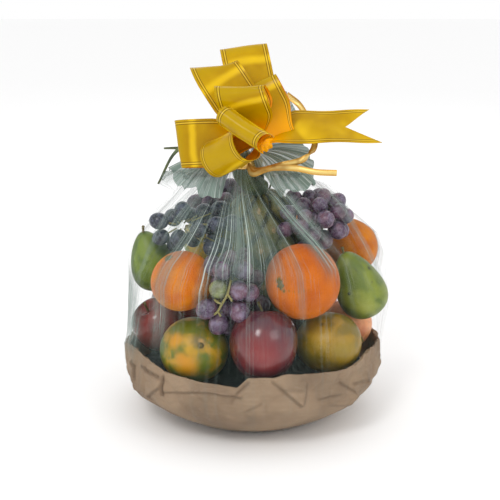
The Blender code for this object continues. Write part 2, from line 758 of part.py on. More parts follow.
# Bow loops: (tip from the heart, direction across the ribbon, how far it opens)
BOW_LOOPS = (
    ((-0.020, 0.040, 0.092), (0.99, 0.03, 0.12), 0.021),
    ((-0.050, 0.014, 0.075), (0.99, 0.03, 0.03), 0.020),
    ((-0.024, -0.030, 0.060), (1.00, 0.00, -0.02), 0.022),
    ((-0.024, -0.062, 0.029), (0.80, -0.34, -0.49), 0.020),
    ((-0.045, -0.038, -0.006), (0.62, -0.50, 0.42), 0.036),
    ((-0.087, 0.001, -0.003), (0.16, -0.28, -0.94), 0.020),
    ((-0.016, 0.054, 0.058), (0.98, 0.10, 0.02), 0.018),
)
# The last loop, whose ribbon runs on into the streamer: it is rooted beside the heart and hardly gathered
SIDE_LOOP_ROOT = Vector((0.019, 0.000, 0.006))
SIDE_LOOP = ((-0.009, 0.008, 0.058), (0.91, -0.02, 0.42), 0.016)
SIDE_LOOP_PINCH = 0.62
LOOP_PINCH = 0.22
HEART_RADIUS = 0.0115
# How far right of the heart the streamer's notch and two points are
NOTCH_REACH = 0.085
STREAMER_TOP = 0.112
STREAMER_BOTTOM = 0.121
# The pull string that ties the bow's heart to the neck
STRING_POINTS = ((0.0, 0.002, -0.006), (-0.010, 0.003, -0.016), (-0.019, 0.0045, -0.024), (-0.024, 0.0070, -0.029))


def add_loop(name, tip, across, opening, finish, root=None, pinch=LOOP_PINCH):
    """A teardrop of ribbon from its root to its tip and back, gathered to a narrow width at the root."""
    if root is None:
        root = Vector(tip).normalized() * 0.55 * HEART_RADIUS
    way = (Vector(tip) - root).normalized()
    long = (Vector(tip) - root).length
    root = BOW_HEART + root
    across = Vector(across).normalized()
    up = way.cross(across).normalized()
    steps = 12

    def reach(t):
        return (1.0 - math.cos(2.0 * math.pi * (0.03 + 0.94 * t))) / 2.0

    path = []
    for i in range(steps + 1):
        t = i / steps
        bulge = math.sin(2.0 * math.pi * (0.03 + 0.94 * t)) * (0.35 + 0.65 * reach(t))
        path.append(root + way * long * reach(t) + up * 0.68 * opening * bulge)
    return strip(
        name, path, lambda t: across,
        lambda t: even(RIBBON_WIDTH * (pinch + (1.0 - pinch) * smooth_step(0.0, 0.55, reach(t)))),
        RIBBON_THICKNESS, finish,
    )


def add_streamer(finish):
    """The ribbon's free end, to the right, cut to a swallow tail: its middle stops short at the notch."""
    across = Vector((-0.04, 0.80, 0.60)).normalized()
    up = across.cross(Vector((1.0, 0.0, 0.0))).normalized() * 0.5 * RIBBON_THICKNESS
    start, steps = 0.002, 8
    rings = []
    for i in range(steps + 1):
        row = []
        for side, end in ((-1.0, STREAMER_BOTTOM), (0.0, NOTCH_REACH), (1.0, STREAMER_TOP)):
            x = start + (end - start) * i / steps
            half = 0.5 * RIBBON_WIDTH * (0.25 + 0.66 * smooth_step(0.0, 0.035, x))
            row.append(BOW_HEART + Vector((x, 0.06 * x, 0.015 * smooth_step(-0.010, 0.036, x))) + across * side * half)
        rings.append([point - up for point in row] + [point + up for point in reversed(row)])
    bm = ring_mesh(rings, open_edge=True)
    bm.verts.ensure_lookup_table()
    for first in (0, 6 * steps):
        bm.faces.new([bm.verts[first + k] for k in (0, 1, 4, 5)])
        bm.faces.new([bm.verts[first + k] for k in (1, 2, 3, 4)])
    bmesh.ops.recalc_face_normals(bm, faces=bm.faces)
    return add_object("streamer", bm, finish, 40)


def add_bow():
    """The pull bow: one ribbon whose loops are gathered at its heart."""
    yellow = material("bow_ribbon", RIBBON_YELLOW, 0.3)
    heart = add_ball("bow", HEART_RADIUS, BOW_HEART, yellow, 8, 5)
    loops = [add_loop(f"loop_{i}", *row, yellow) for i, row in enumerate(BOW_LOOPS)]
    loops.append(add_loop("side_loop", *SIDE_LOOP, yellow, SIDE_LOOP_ROOT, SIDE_LOOP_PINCH))
    string_path = smooth_path([BOW_HEART + Vector(point) for point in STRING_POINTS], 6)
    string = strip("bow_string", string_path, lambda t: (1.0, 0.3, 0.2), lambda t: even(CURL_WIDTH), 0.0012, yellow)
    return fuse(heart, loops + [add_streamer(yellow), string])


def main():
    clear_scene()
    tray = add_tray()
    packing = add_packing()
    fruit = add_all_fruit()
    pineapple = add_pineapple()
    bpy.context.view_layer.update()
    contents = [tray, packing, pineapple] + fruit
    draw = random.Random(11)
    for row in BUNCHES:
        trees = [world_tree(piece) for piece in contents]
        contents.append(add_bunch(row, trees, draw))
    crown = add_crown()
    contents.append(crown)
    bpy.context.view_layer.update()
    add_film(contents)
    add_tie()
    add_bow()


main()
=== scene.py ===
"""The looks of the fruit hamper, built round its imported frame: fruit with its own skins, a creased paper
tray, clear film drawn into pleats at the neck, a gold curling ribbon and a yellow pull bow. Lengths are in
metres."""

import math
import random

import bpy
from mathutils import Matrix, Vector, noise
from mathutils.bvhtree import BVHTree


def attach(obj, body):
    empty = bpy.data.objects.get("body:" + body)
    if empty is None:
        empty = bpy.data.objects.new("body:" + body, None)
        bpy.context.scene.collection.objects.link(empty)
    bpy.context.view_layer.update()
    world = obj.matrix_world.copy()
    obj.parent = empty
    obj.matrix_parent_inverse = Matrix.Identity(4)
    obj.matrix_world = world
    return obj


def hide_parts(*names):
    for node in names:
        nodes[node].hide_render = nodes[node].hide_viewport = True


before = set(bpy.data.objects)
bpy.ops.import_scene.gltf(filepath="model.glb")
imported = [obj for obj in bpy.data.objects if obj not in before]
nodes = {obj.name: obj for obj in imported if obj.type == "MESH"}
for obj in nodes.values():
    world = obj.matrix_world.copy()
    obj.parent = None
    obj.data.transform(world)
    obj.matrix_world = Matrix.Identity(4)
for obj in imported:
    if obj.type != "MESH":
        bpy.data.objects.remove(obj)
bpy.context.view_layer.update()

# The same driving sizes as the solids
GAP = 0.0005
BASE_Z = 0.0011
TRAY_BASE_RADIUS = 0.082
TRAY_RIM_RADIUS = 0.1385
TRAY_WALL = 0.003
PINEAPPLE_RADIUS = 0.050
PINEAPPLE_HEIGHT = 0.148
PINEAPPLE_FOOT = Vector((0.017, 0.024, 0.0925))
PINEAPPLE_LEAN = Vector((-0.010, -0.009, 0.148))
NECK_CENTRE = Vector((-0.012, 0.0, 0.277))
NECK_RADIUS = 0.0165
NECK_LOW = 0.268
NECK_HIGH = 0.286
RIBBON_WIDTH = 0.049
CURL_WIDTH = 0.0065
RIBBON_THICKNESS = 0.0006
BOW_HEART = Vector((0.010, -0.034, 0.305))

# ---------------------------------------------------------------- camera and light

ELEVATION = math.radians(17.0)
DISTANCE = 1.3
TARGET = Vector((-0.003, 0.0, 0.178))
VIEW = Vector((0.0, math.cos(ELEVATION), -math.sin(ELEVATION)))
PICTURE_UP = Vector((0.0, math.sin(ELEVATION), math.cos(ELEVATION)))
PICTURE_WIDTH = 500.0  # pixels, and the height too
PIXELS_PER_METRE = 920.0  # at the target
SENSOR = 36.0

camera = bpy.data.objects.new("camera", bpy.data.cameras.new("camera"))
bpy.context.scene.collection.objects.link(camera)
bpy.context.scene.camera = camera
camera.data.sensor_width = SENSOR
camera.data.lens = SENSOR * PIXELS_PER_METRE * DISTANCE / PICTURE_WIDTH
camera.location = TARGET - VIEW * DISTANCE
camera.rotation_euler = VIEW.to_track_quat("-Z", "Y").to_euler()


def sight(u, v):
    """The direction from the camera through a point of the front view, in pixels from its top left corner."""
    across, up = u - 0.5 * PICTURE_WIDTH, 0.5 * PICTURE_WIDTH - v
    ahead = VIEW * PIXELS_PER_METRE * DISTANCE
    return (ahead + Vector((1.0, 0.0, 0.0)) * across + PICTURE_UP * up).normalized()


def seen(tree, u, v):
    """Where the line of sight through a point of the front view first meets a surface."""
    return tree.ray_cast(camera.location, sight(u, v))[0]


def on_upright(u, v, y):
    """The point at the given depth that shows at a point of the front view."""
    way = sight(u, v)
    return camera.location + way * ((y - camera.location.y) / way.y)


def add_light(name, place, aim, power, size):
    light = bpy.data.lights.new(name, "AREA")
    light.energy, light.size = power, size
    lamp = bpy.data.objects.new(name, light)
    bpy.context.scene.collection.objects.link(lamp)
    lamp.location = place
    lamp.rotation_euler = (Vector(aim) - Vector(place)).to_track_quat("-Z", "Y").to_euler()


# ---------------------------------------------------------------- materials


def rgb(red, green, blue):
    """A screen colour, 0 to 255, as linear light."""
    return tuple(
        c / 255.0 / 12.92 if c <= 10.3 else ((c / 255.0 + 0.055) / 1.055) ** 2.4 for c in (red, green, blue)
    )


class Finish:
    """A material put together from nodes. A value is a number, a screen colour or another node's socket."""

    def __init__(self, name, **shader_inputs):
        self.material = bpy.data.materials.new(name)
        self.material.use_nodes = True
        self.tree = self.material.node_tree
        self.shader = self.tree.nodes["Principled BSDF"]
        for key, value in shader_inputs.items():
            self.put(self.shader.inputs[key.replace("_", " ")], value)
        self.place = self.add("ShaderNodeTexCoord").outputs["Object"]

    def put(self, socket, value):
        if isinstance(value, bpy.types.NodeSocket):
            self.tree.links.new(value, socket)
        elif socket.type == "RGBA":
            socket.default_value = rgb(*value) + (1.0,)
        else:
            socket.default_value = value

    def add(self, kind, values=(), **settings):
        node = self.tree.nodes.new(kind)
        for key, value in settings.items():
            setattr(node, key, value)
        for key, value in dict(values).items():
            self.put(node.inputs[key], value)
        return node

    def noise(self, scale, detail=2.0, rough=0.5, at=None, twist=0.0):
        values = {"Vector": at or self.place, "Scale": scale, "Detail": detail}
        values.update({"Roughness": rough, "Distortion": twist})
        return self.add("ShaderNodeTexNoise", values).outputs["Fac"]

    def cells(self, scale):
        return self.add("ShaderNodeTexVoronoi", {"Vector": self.place, "Scale": scale}).outputs["Distance"]

    def work_out(self, operation, a, b=0.0, clamp=False):
        node = self.add("ShaderNodeMath", operation=operation, use_clamp=clamp)
        self.put(node.inputs[0], a)
        self.put(node.inputs[1], b)
        return node.outputs[0]

    def plus(self, a, b, clamp=False):
        return self.work_out("ADD", a, b, clamp)

    def times(self, a, b, clamp=False):
        return self.work_out("MULTIPLY", a, b, clamp)

    def gap(self, a, b=0.0):
        """How far apart two values are."""
        return self.work_out("ABSOLUTE", self.work_out("SUBTRACT", a, b))

    def vector(self, operation, a, b=None):
        node = self.add("ShaderNodeVectorMath", operation=operation)
        self.put(node.inputs[0], a)
        if b is not None:
            self.put(node.inputs["Scale" if operation == "SCALE" else 1], b)
        return node.outputs["Value" if operation == "DISTANCE" else "Vector"]

    def ramp(self, value, low, high, start=0.0, end=1.0):
        values = {"Value": value, "From Min": low, "From Max": high, "To Min": start, "To Max": end}
        return self.add("ShaderNodeMapRange", values, interpolation_type="SMOOTHSTEP").outputs["Result"]

    def mix(self, a, b, factor):
        node = self.add("ShaderNodeMix", data_type="RGBA")
        self.put(node.inputs[0], factor)
        self.put(node.inputs[6], a)
        self.put(node.inputs[7], b)
        return node.outputs[2]

    def near(self, point, radius, soft, wobble):
        """1 round a point, 0 away from it. wobble is a noise that makes its edge uneven."""
        reach = self.vector("DISTANCE", self.place, tuple(point))
        reach = self.plus(reach, self.times(self.plus(wobble, -0.5), radius * 1.6))
        return self.ramp(reach, radius + soft, max(0.0, radius - soft))

    def attribute(self, name):
        return self.add("ShaderNodeAttribute", attribute_name=name).outputs["Fac"]

    def bump(self, height, distance, strength=1.0):
        """Adds relief. distance is the height in metres of a full step of the given value."""
        values = {"Height": height, "Distance": distance, "Strength": strength}
        below = self.shader.inputs["Normal"].links
        if below:
            values["Normal"] = below[0].from_socket
        self.put(self.shader.inputs["Normal"], self.add("ShaderNodeBump", values).outputs["Normal"])

    def colour(self, value):
        self.put(self.shader.inputs["Base Color"], value)


# ---------------------------------------------------------------- meshes


def tree_of(thing):
    place = thing.matrix_world
    points = [place @ vert.co for vert in thing.data.vertices]
    return BVHTree.FromPolygons(points, [tuple(face.vertices) for face in thing.data.polygons])


def level(angle):
    """The level direction at an angle, in radians."""
    return Vector((math.cos(angle), math.sin(angle), 0.0))


def upward(height):
    return Vector((0.0, 0.0, height))


def all_round(count):
    """Even angles in degrees from -180 up, and their level directions."""
    degrees = [360.0 * i / count - 180.0 for i in range(count)]
    return degrees, [level(math.radians(d)) for d in degrees]


def globe(segments, rows, place):
    """Rows of place(tilt, turn), from the top pole to the bottom one."""
    grid = []
    for row in range(rows + 1):
        count = segments if 0 < row < rows else 1
        grid.append([place(math.pi * row / rows, 2.0 * math.pi * i / segments) for i in range(count)])
    return grid


class Shape:
    """Points and faces of one object that is put together from several skins."""

    def __init__(self):
        self.points, self.faces, self.slots, self.uvs, self.values = [], [], [], [], {}

    def skin(self, rows, around=True, slot=0, slots=None, values=None, flip=False):
        """Joins rows of points. around joins each row's end to its start. A row of one point is a pole."""
        start = []
        for row in rows:
            start.append(len(self.points))
            self.points += row
        for name, grid in (values or {}).items():
            store = self.values.setdefault(name, {})
            for i, row in enumerate(grid):
                for j, value in enumerate(row):
                    store[start[i] + j] = value
        for i in range(len(rows) - 1):
            low, high = rows[i], rows[i + 1]
            count = max(len(low), len(high))
            for j in range(count if around else count - 1):
                k = (j + 1) % count if around else j + 1
                corners = [(start[i] + j % len(low), (j / count, i / len(rows)))]
                for index, spot in (
                    (start[i] + k % len(low), ((j + 1) / count, i / len(rows))),
                    (start[i + 1] + k % len(high), ((j + 1) / count, (i + 1) / len(rows))),
                    (start[i + 1] + j % len(high), (j / count, (i + 1) / len(rows))),
                ):
                    if all(index != other for other, _ in corners):
                        corners.append((index, spot))
                if flip:
                    corners.reverse()
                self.faces.append([index for index, _ in corners])
                self.uvs += [spot for _, spot in corners]
                self.slots.append(slots[j] if slots else slot)

    def close_ends(self, first, rows, columns, slot):
        """Closes both ends of a skin from point first on, whose rows run out and back in columns steps."""
        count = 2 * (columns + 1)
        for base, order in ((first, 1), (first + count * (rows - 1), -1)):
            for k in range(columns):
                corners = [base + k, base + k + 1, base + count - 2 - k, base + count - 1 - k]
                self.faces.append(corners[::order])
                self.uvs += [(0.0, 0.0)] * 4
                self.slots.append(slot)

    def make(self, name, finishes, replaced=(), sharp=None):
        mesh = bpy.data.meshes.new(name)
        mesh.from_pydata([tuple(point) for point in self.points], [], self.faces)
        mesh.polygons.foreach_set("material_index", self.slots)
        layer = mesh.uv_layers.new(name="UVMap")
        layer.data.foreach_set("uv", [number for spot in self.uvs for number in spot])
        for key, store in self.values.items():
            field = mesh.attributes.new(key, "FLOAT", "POINT")
            field.data.foreach_set("value", [store.get(i, 0.0) for i in range(len(self.points))])
        for finish in finishes:
            mesh.materials.append(finish.material)
        mesh.shade_smooth()
        if sharp is not None:
            mesh.set_sharp_from_angle(angle=math.radians(sharp))
        mesh.update()
        made = bpy.data.objects.new(name, mesh)
        bpy.context.scene.collection.objects.link(made)
        if replaced:
            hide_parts(*replaced)
        return made


def smooth_step(low, high, value):
    t = min(1.0, max(0.0, (value - low) / (high - low)))
    return t * t * (3.0 - 2.0 * t)


def turn_between(a, b):
    """The smallest turn from angle b to angle a, in degrees."""
    return (a - b + 180.0) % 360.0 - 180.0


def in_table(rows, degrees, eased=True):
    """The values of a table whose first column is an angle from -180 up, all the way round."""
    degrees = turn_between(degrees, 0.0)
    rows += ((180.0, *rows[0][1:]),)
    before, after = next(pair for pair in zip(rows, rows[1:]) if pair[0][0] <= degrees <= pair[1][0])
    t = (degrees - before[0]) / (after[0] - before[0])
    t = smooth_step(0.0, 1.0, t) if eased else t
    return [low + (high - low) * t for low, high in zip(before[1:], after[1:])]


def smooth_path(points, count):
    """Points along a curve through the given ones (Catmull-Rom)."""
    points = [Vector(point) for point in points]
    ends = [2.0 * points[0] - points[1]] + points + [2.0 * points[-1] - points[-2]]
    path = []
    for i in range(count):
        place = i * (len(points) - 1) / (count - 1)
        k = min(int(place), len(points) - 2)
        t = place - k
        a, b, c, d = ends[k : k + 4]
        path.append(
            0.5 * (2.0 * b + (c - a) * t + (2.0 * a - 5.0 * b + 4.0 * c - d) * t * t
                   + (3.0 * b - a - 3.0 * c + d) * t * t * t)
        )
    return path


def tube(shape, path, radius_at, sides, slot=0):
    """A round stem along a path. radius_at takes how far along it is, 0 to 1."""
    last = len(path) - 1
    rows = [[path[0]]]
    for i, point in enumerate(path):
        along = (path[min(i + 1, last)] - path[max(i - 1, 0)]).normalized()
        side = along.orthogonal().normalized() if i == 0 else (side - along * side.dot(along)).normalized()
        other = along.cross(side)
        radius = radius_at(i / last)
        rows.append([
            point + (side * math.cos(a) + other * math.sin(a)) * radius
            for a in (2.0 * math.pi * k / sides for k in range(sides))
        ])
    rows.append([path[-1]])
    shape.skin(rows, slot=slot)


def ball(shape, middle, radii, turn, segments, rows, slot, form=None):
    def place(tilt, angle):
        point = Vector((math.sin(tilt) * math.cos(angle), math.sin(tilt) * math.sin(angle), math.cos(tilt)))
        if form:
            point = form(point)
        point = Vector([point[k] * radii[k] for k in range(3)])
        return middle + (turn @ point if turn else point)

    shape.skin(globe(segments, rows, place), slot=slot, flip=True)


def ride(thing):
    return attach(thing, "root")


# ---------------------------------------------------------------- fruit


def orange_form(tilt, turn):
    radius = 1.0 - 0.07 * math.exp(-((tilt / 0.24) ** 2)) - 0.03 * math.exp(-(((math.pi - tilt) / 0.3) ** 2))
    width = radius * math.sin(tilt)
    return Vector((width * math.cos(turn), width * math.sin(turn), 0.95 * radius * math.cos(tilt)))


def apple_form(tilt, turn):
    rib = 1.0 + 0.018 * math.cos(5.0 * turn) * (1.0 - math.cos(tilt)) / 2.0
    width = math.sin(tilt) * (1.0 + 0.06 * math.cos(tilt)) * rib
    height = 1.16 * math.cos(tilt) - 0.30 * math.exp(-((tilt / 0.36) ** 2))
    height += 0.14 * math.exp(-(((math.pi - tilt) / 0.40) ** 2))
    return Vector((width * math.cos(turn), width * math.sin(turn), height))


def pear_form(tilt, turn):
    neck = (1.0 + math.cos(tilt)) / 2.0
    width = max(0.0, math.sin(tilt)) ** 0.92 * (1.0 - 0.40 * neck ** 1.3)
    height = 0.98 * math.cos(tilt) + 0.42 * neck ** 2
    return Vector((width * math.cos(turn), width * math.sin(turn), height))


def mango_form(tilt, turn):
    width = math.sin(tilt)
    bulge = 0.07 * width ** 2 * math.cos(turn) * math.cos(tilt)
    return Vector((width * math.cos(turn) + bulge, 0.97 * width * math.sin(turn), 1.08 * math.cos(tilt)))


# Each fruit: name, form, radius, middle, where its stem end points unless STEM_SPOTS says it, slot
FRUIT = (
    ("mango_front_left", mango_form, 0.0358, (-0.062, -0.073, 0.0905), (0.2, -0.85, 0.45), "mango_mottled_skin"),
    ("apple_front", apple_form, 0.0348, (0.011, -0.097, 0.1065), (0.0, 0.35, 0.94), "apple_skin"),
    ("mango_front_right", mango_form, 0.0330, (0.080, -0.060, 0.0942), (0.9, -0.1, 0.1), "mango_olive_skin"),
    ("mango_right", mango_form, 0.0280, (0.1055, 0.016, 0.0860), (0.2, 0.8, 0.3), "mango_red_skin"),
    ("apple_back_right", apple_form, 0.0345, (0.064, 0.080, 0.0885), (0.2, 0.3, 0.9), "apple_skin"),
    ("mango_back", mango_form, 0.0335, (-0.013, 0.100, 0.0870), (0.8, 0.2, 0.2), "mango_olive_skin"),
    ("apple_back_left", apple_form, 0.0340, (-0.083, 0.066, 0.0875), (-0.3, 0.1, 0.9), "apple_skin"),
    ("apple_left", apple_form, 0.0285, (-0.1025, -0.006, 0.0930), (-0.5, -0.3, 0.8), "apple_skin"),
    ("orange_front_left", orange_form, 0.0328, (-0.0737, -0.064, 0.1640), None, "orange_peel"),
    ("orange_front_right", orange_form, 0.0392, (0.051, -0.078, 0.1680), None, "orange_peel"),
    ("pear_right", pear_form, 0.0318, (0.1165, -0.016, 0.1385), (-0.42, -0.05, 0.90), "pear_skin"),
    ("orange_back_right", orange_form, 0.0315, (0.1100, 0.047, 0.1690), (0.5, 0.3, 0.7), "orange_peel"),
    ("orange_back", orange_form, 0.0350, (0.043, 0.099, 0.1605), (0.1, 0.8, 0.5), "orange_peel"),
    ("mango_back_high", mango_form, 0.0330, (-0.046, 0.096, 0.1580), (-0.8, 0.1, 0.4), "mango_mottled_skin"),
    ("pear_left", pear_form, 0.0290, (-0.1095, 0.013, 0.1570), (-0.25, -0.10, 0.95), "pear_skin"),
)


def stem_finish():
    made = Finish("stem", Roughness=0.75)
    made.colour(made.mix((88, 84, 36), (120, 100, 58), made.noise(500.0)))
    made.bump(made.noise(900.0), 0.0003)
    return made


def orange_peel(name, radius, marks, light, dark):
    """Peel with fine pores. marks are points where it is stained or scarred; on one orange a row of fainter
    marks paints the shade in a crease.
    """
    made = Finish(name + "_peel", Roughness=0.42, Specular_IOR_Level=0.14)
    tone = made.mix(light, dark, made.ramp(made.noise(1.3 / radius, 3.0), 0.35, 0.68))
    pores = made.cells(620.0)
    tone = made.mix(tone, [0.80 * c for c in dark], made.ramp(pores, 0.34, 0.06, 0.0, 0.45))
    for point, size, strength in marks:
        # each mark is a real stain, except the painted crease shade on the front right orange
        stain_and_crease_shade = made.near(point, size, 0.6 * size, made.noise(420.0))
        tone = made.mix(tone, (92, 90, 22), made.times(stain_and_crease_shade, strength))
    made.colour(tone)
    made.bump(made.ramp(pores, 0.0, 0.5), 0.00055, 0.9)
    made.bump(made.noise(150.0, 3.0), 0.0007, 0.6)
    return made


def apple_skin(name, radius, glows, light, dark):
    """Waxy dark-red skin, brighter round the points of glows, with pale pin-pricks."""
    made = Finish(name + "_skin", Roughness=0.24, Coat_Weight=0.35, Coat_Roughness=0.12)
    tone = made.mix(dark, light, made.ramp(made.noise(1.1 / radius, 4.0, 0.6), 0.36, 0.66))
    for (glow,) in glows:
        red = made.near(glow, 0.55 * radius, 0.5 * radius, made.noise(1.8 / radius, 3.0))
        tone = made.mix(tone, (132, 24, 24), made.times(red, 0.75))
    dots = made.ramp(made.cells(250.0), 0.16, 0.07, 0.0, 0.42)
    tone = made.mix(tone, (190, 130, 118), dots)
    streaks = made.ramp(made.noise(330.0, 2.0), 0.55, 0.75, 0.0, 0.3)
    made.colour(made.mix(tone, (110, 46, 40), streaks))
    made.bump(made.noise(190.0, 2.0), 0.00025, 0.5)
    return made


def speckled_skin(name, radius, marks, light, dark, blotch, specks, rough, speck_tone=(70, 56, 22)):
    """Matt mango or pear skin: two tones in soft blotches, fine freckles, and stains at given points."""
    made = Finish(name + "_skin", Roughness=rough)
    cloud = made.noise(blotch / radius, 3.0, 0.55, twist=0.4)
    tone = made.mix(dark, light, made.ramp(cloud, 0.40, 0.62))
    fine = made.noise(7.0 / radius, 3.0)
    tone = made.mix(tone, [0.8 * c for c in dark], made.ramp(fine, 0.52, 0.78, 0.0, 0.5))
    for point, size, stain, strength in marks:
        patch = made.near(point, size, 0.75 * size, made.noise(2.6 / radius, 3.0))
        tone = made.mix(tone, stain, made.times(patch, strength))
    dots = made.ramp(made.cells(specks), 0.20, 0.08, 0.0, 0.62)
    made.colour(made.mix(tone, speck_tone, dots))
    made.bump(fine, 0.0004, 0.5)
    made.bump(made.noise(420.0, 2.0), 0.00015, 0.6)
    return made


def fruit_rows(name, form, radius, spot, stretch):
    """The rows of points of a fruit. No two fruit swell in the same places."""
    uneven = Vector((len(name) * 3.7, radius * 900.0, spot[0] * 60.0))

    def place(tilt, turn):
        point = form(tilt, turn)
        swell = 1.0 + UNEVEN_BY * noise.noise(point * 1.1 + uneven)
        return Vector((point.x, point.y, point.z * stretch)) * radius * swell

    return globe(*FRUIT_GRID, place)


def add_calyx(shape, top):
    """A small green star in the dimple of an orange."""
    star = [[top + upward(0.0016)]]
    for reach, lift in ((0.0012, 0.0015), (0.0024, 0.0010), (0.0042, 0.0004), (0.0036, -0.0010)):
        star.append([
            top + level(a) * reach * (1.0 + 0.28 * math.cos(5.0 * a)) + upward(lift)
            for a in (2.0 * math.pi * i / 30 for i in range(30))
        ])
    shape.skin(star, slot=1, flip=True)


def add_stem(shape, top, form):
    """A short slanted stem, or only its stump on a mango."""
    lean = Vector((0.25, 0.12, 1.0)).normalized() * (0.017 if form is apple_form else 0.011)
    start = top - upward(0.003)
    path = smooth_path((start, start + 0.5 * lean, start + lean + Vector((0.002, 0.0, 0.0))), 8)
    if form is mango_form:
        path = smooth_path((start, start + 0.25 * lean, start + 0.38 * lean), 5)
    thick = 0.0024 if form is mango_form else 0.0013
    tube(shape, path, lambda t: thick * (1.0 + 0.35 * (2.0 * t - 1.0) ** 2), 10, slot=1)


def add_fruit(row):
    name, form, radius, spot, towards, slot_name = row
    shape = Shape()
    grid = fruit_rows(name, form, radius, spot, STRETCH.get(name, 1.0))
    shape.skin(grid, flip=True)
    if form is orange_form:
        add_calyx(shape, grid[0][0])
    else:
        add_stem(shape, grid[0][0], form)
    made = shape.make(name, [STEM, STEM], (name,))
    if name in STEM_SPOTS:
        towards = seen(tree_of(nodes[name]), *STEM_SPOTS[name]) - Vector(spot)
    turn = Vector(towards).to_track_quat("Z", "Y").to_matrix().to_4x4()
    made.data.transform(Matrix.Translation(spot) @ turn)
    return made


def on_fruit(made, spots):
    """Spots of the front view as points on a fruit's surface, each with its size and so on."""
    tree = tree_of(made)
    found = [(seen(tree, u, v), *rest) for u, v, *rest in spots]
    return [spot for spot in found if spot[0] is not None]


STRETCH = {"pear_right": 1.04}  # along the stem
FRUIT_GRID = (72, 44)  # points round a fruit, and rows from its top to its bottom
UNEVEN_BY = 0.025
# Where the stem end of a front orange shows in the front view
STEM_SPOTS = {"orange_front_left": (168.0, 257.5), "orange_front_right": (280.0, 285.0)}
# Spots of the front view: place, size and strength on an orange, place on an apple, and place, size, colour
# and strength on a mango or a pear
MARKS = {
    "orange_front_left": ((168, 257, 0.0040, 0.9), (179, 255, 0.0012, 0.5)),
    "orange_front_right": (
        # the first three marks are the navel's stain; the fainter ones after them paint the shade in a crease to
        # its right
        (279, 281, 0.0036, 0.9), (281, 287, 0.0032, 0.9), (284, 291, 0.0018, 0.8), (289, 291, 0.0012, 0.5),
        (294, 292, 0.0010, 0.4), (299, 292, 0.0010, 0.4), (304, 291, 0.0010, 0.35), (309, 290, 0.0009, 0.3),
    ),
    "apple_front": ((262, 354),),
    "mango_front_left": (
        (174, 341, 0.0085, (202, 140, 4), 0.95), (188, 366, 0.0105, (198, 136, 4), 0.95),
        (181, 358, 0.0060, (200, 134, 6), 0.8), (163, 360, 0.0075, (72, 104, 14), 0.8),
        (206, 366, 0.0090, (84, 108, 12), 0.7), (224, 345, 0.0070, (150, 124, 12), 0.7),
        (199, 341, 0.0072, (112, 96, 52), 0.95), (201, 341, 0.0026, (178, 138, 70), 1.0),
        (188, 380, 0.0050, (120, 96, 24), 0.8), (212, 380, 0.0050, (96, 100, 26), 0.8),
    ),
    "mango_front_right": (
        (322, 324, 0.0026, (96, 78, 20), 0.85), (318, 340, 0.010, (182, 146, 26), 0.6),
        (345, 352, 0.012, (132, 116, 34), 0.6), (306, 352, 0.010, (128, 118, 30), 0.5),
    ),
    "pear_right": (
        (369, 268, 0.0017, (44, 46, 22), 1.0), (349, 294, 0.0015, (44, 46, 22), 1.0),
        (356, 270, 0.0009, (60, 60, 30), 0.9), (372, 282, 0.0010, (60, 60, 30), 0.9),
        (366, 310, 0.010, (160, 164, 70), 0.6),
    ),
}
# The skin of one fruit, or of every other fruit of its kind
SKINS = {
    "orange_front_left": (orange_peel, (222, 130, 0), (206, 104, 0)),
    "orange_front_right": (orange_peel, (206, 106, 0), (182, 84, 0)),
    "orange": (orange_peel, (212, 124, 6), (190, 96, 2)),
    "apple_front": (apple_skin, (104, 34, 38), (70, 30, 44)),
    "apple": (apple_skin, (150, 54, 48), (110, 36, 36)),
    "mango_front_left": (speckled_skin, (180, 138, 6), (94, 104, 6), 1.9, 240.0, 0.42, (92, 62, 16)),
    "mango_back_high": (speckled_skin, (214, 168, 24), (112, 128, 20), 1.2, 240.0, 0.42),
    "mango_right": (speckled_skin, (238, 162, 108), (212, 126, 82), 1.0, 260.0, 0.42),
    "mango": (speckled_skin, (158, 122, 10), (116, 96, 10), 1.3, 300.0, 0.40, (70, 52, 14)),
    "pear_right": (speckled_skin, (124, 136, 40), (90, 108, 26), 1.2, 330.0, 0.38, (72, 92, 30)),
    "pear": (speckled_skin, (112, 132, 34), (80, 102, 24), 1.6, 380.0, 0.42, (66, 92, 30)),
}
STEM = stem_finish()
fruit = []
for row in FRUIT:
    name, radius = row[0], row[2]
    made = add_fruit(row)
    finish, *tones = SKINS.get(name) or SKINS[name.split("_")[0]]
    marks = on_fruit(made, MARKS.get(name, ()))
    made.data.materials[0] = finish(name, radius, marks, *tones).material
    fruit.append(ride(made))

# ---------------------------------------------------------------- pineapple

EYES_ROUND = 8.0
EYE_HEIGHT = 0.0205
EYE_RISE = 0.0060
GROOVE_DEPTH = 0.0058  # below the solid


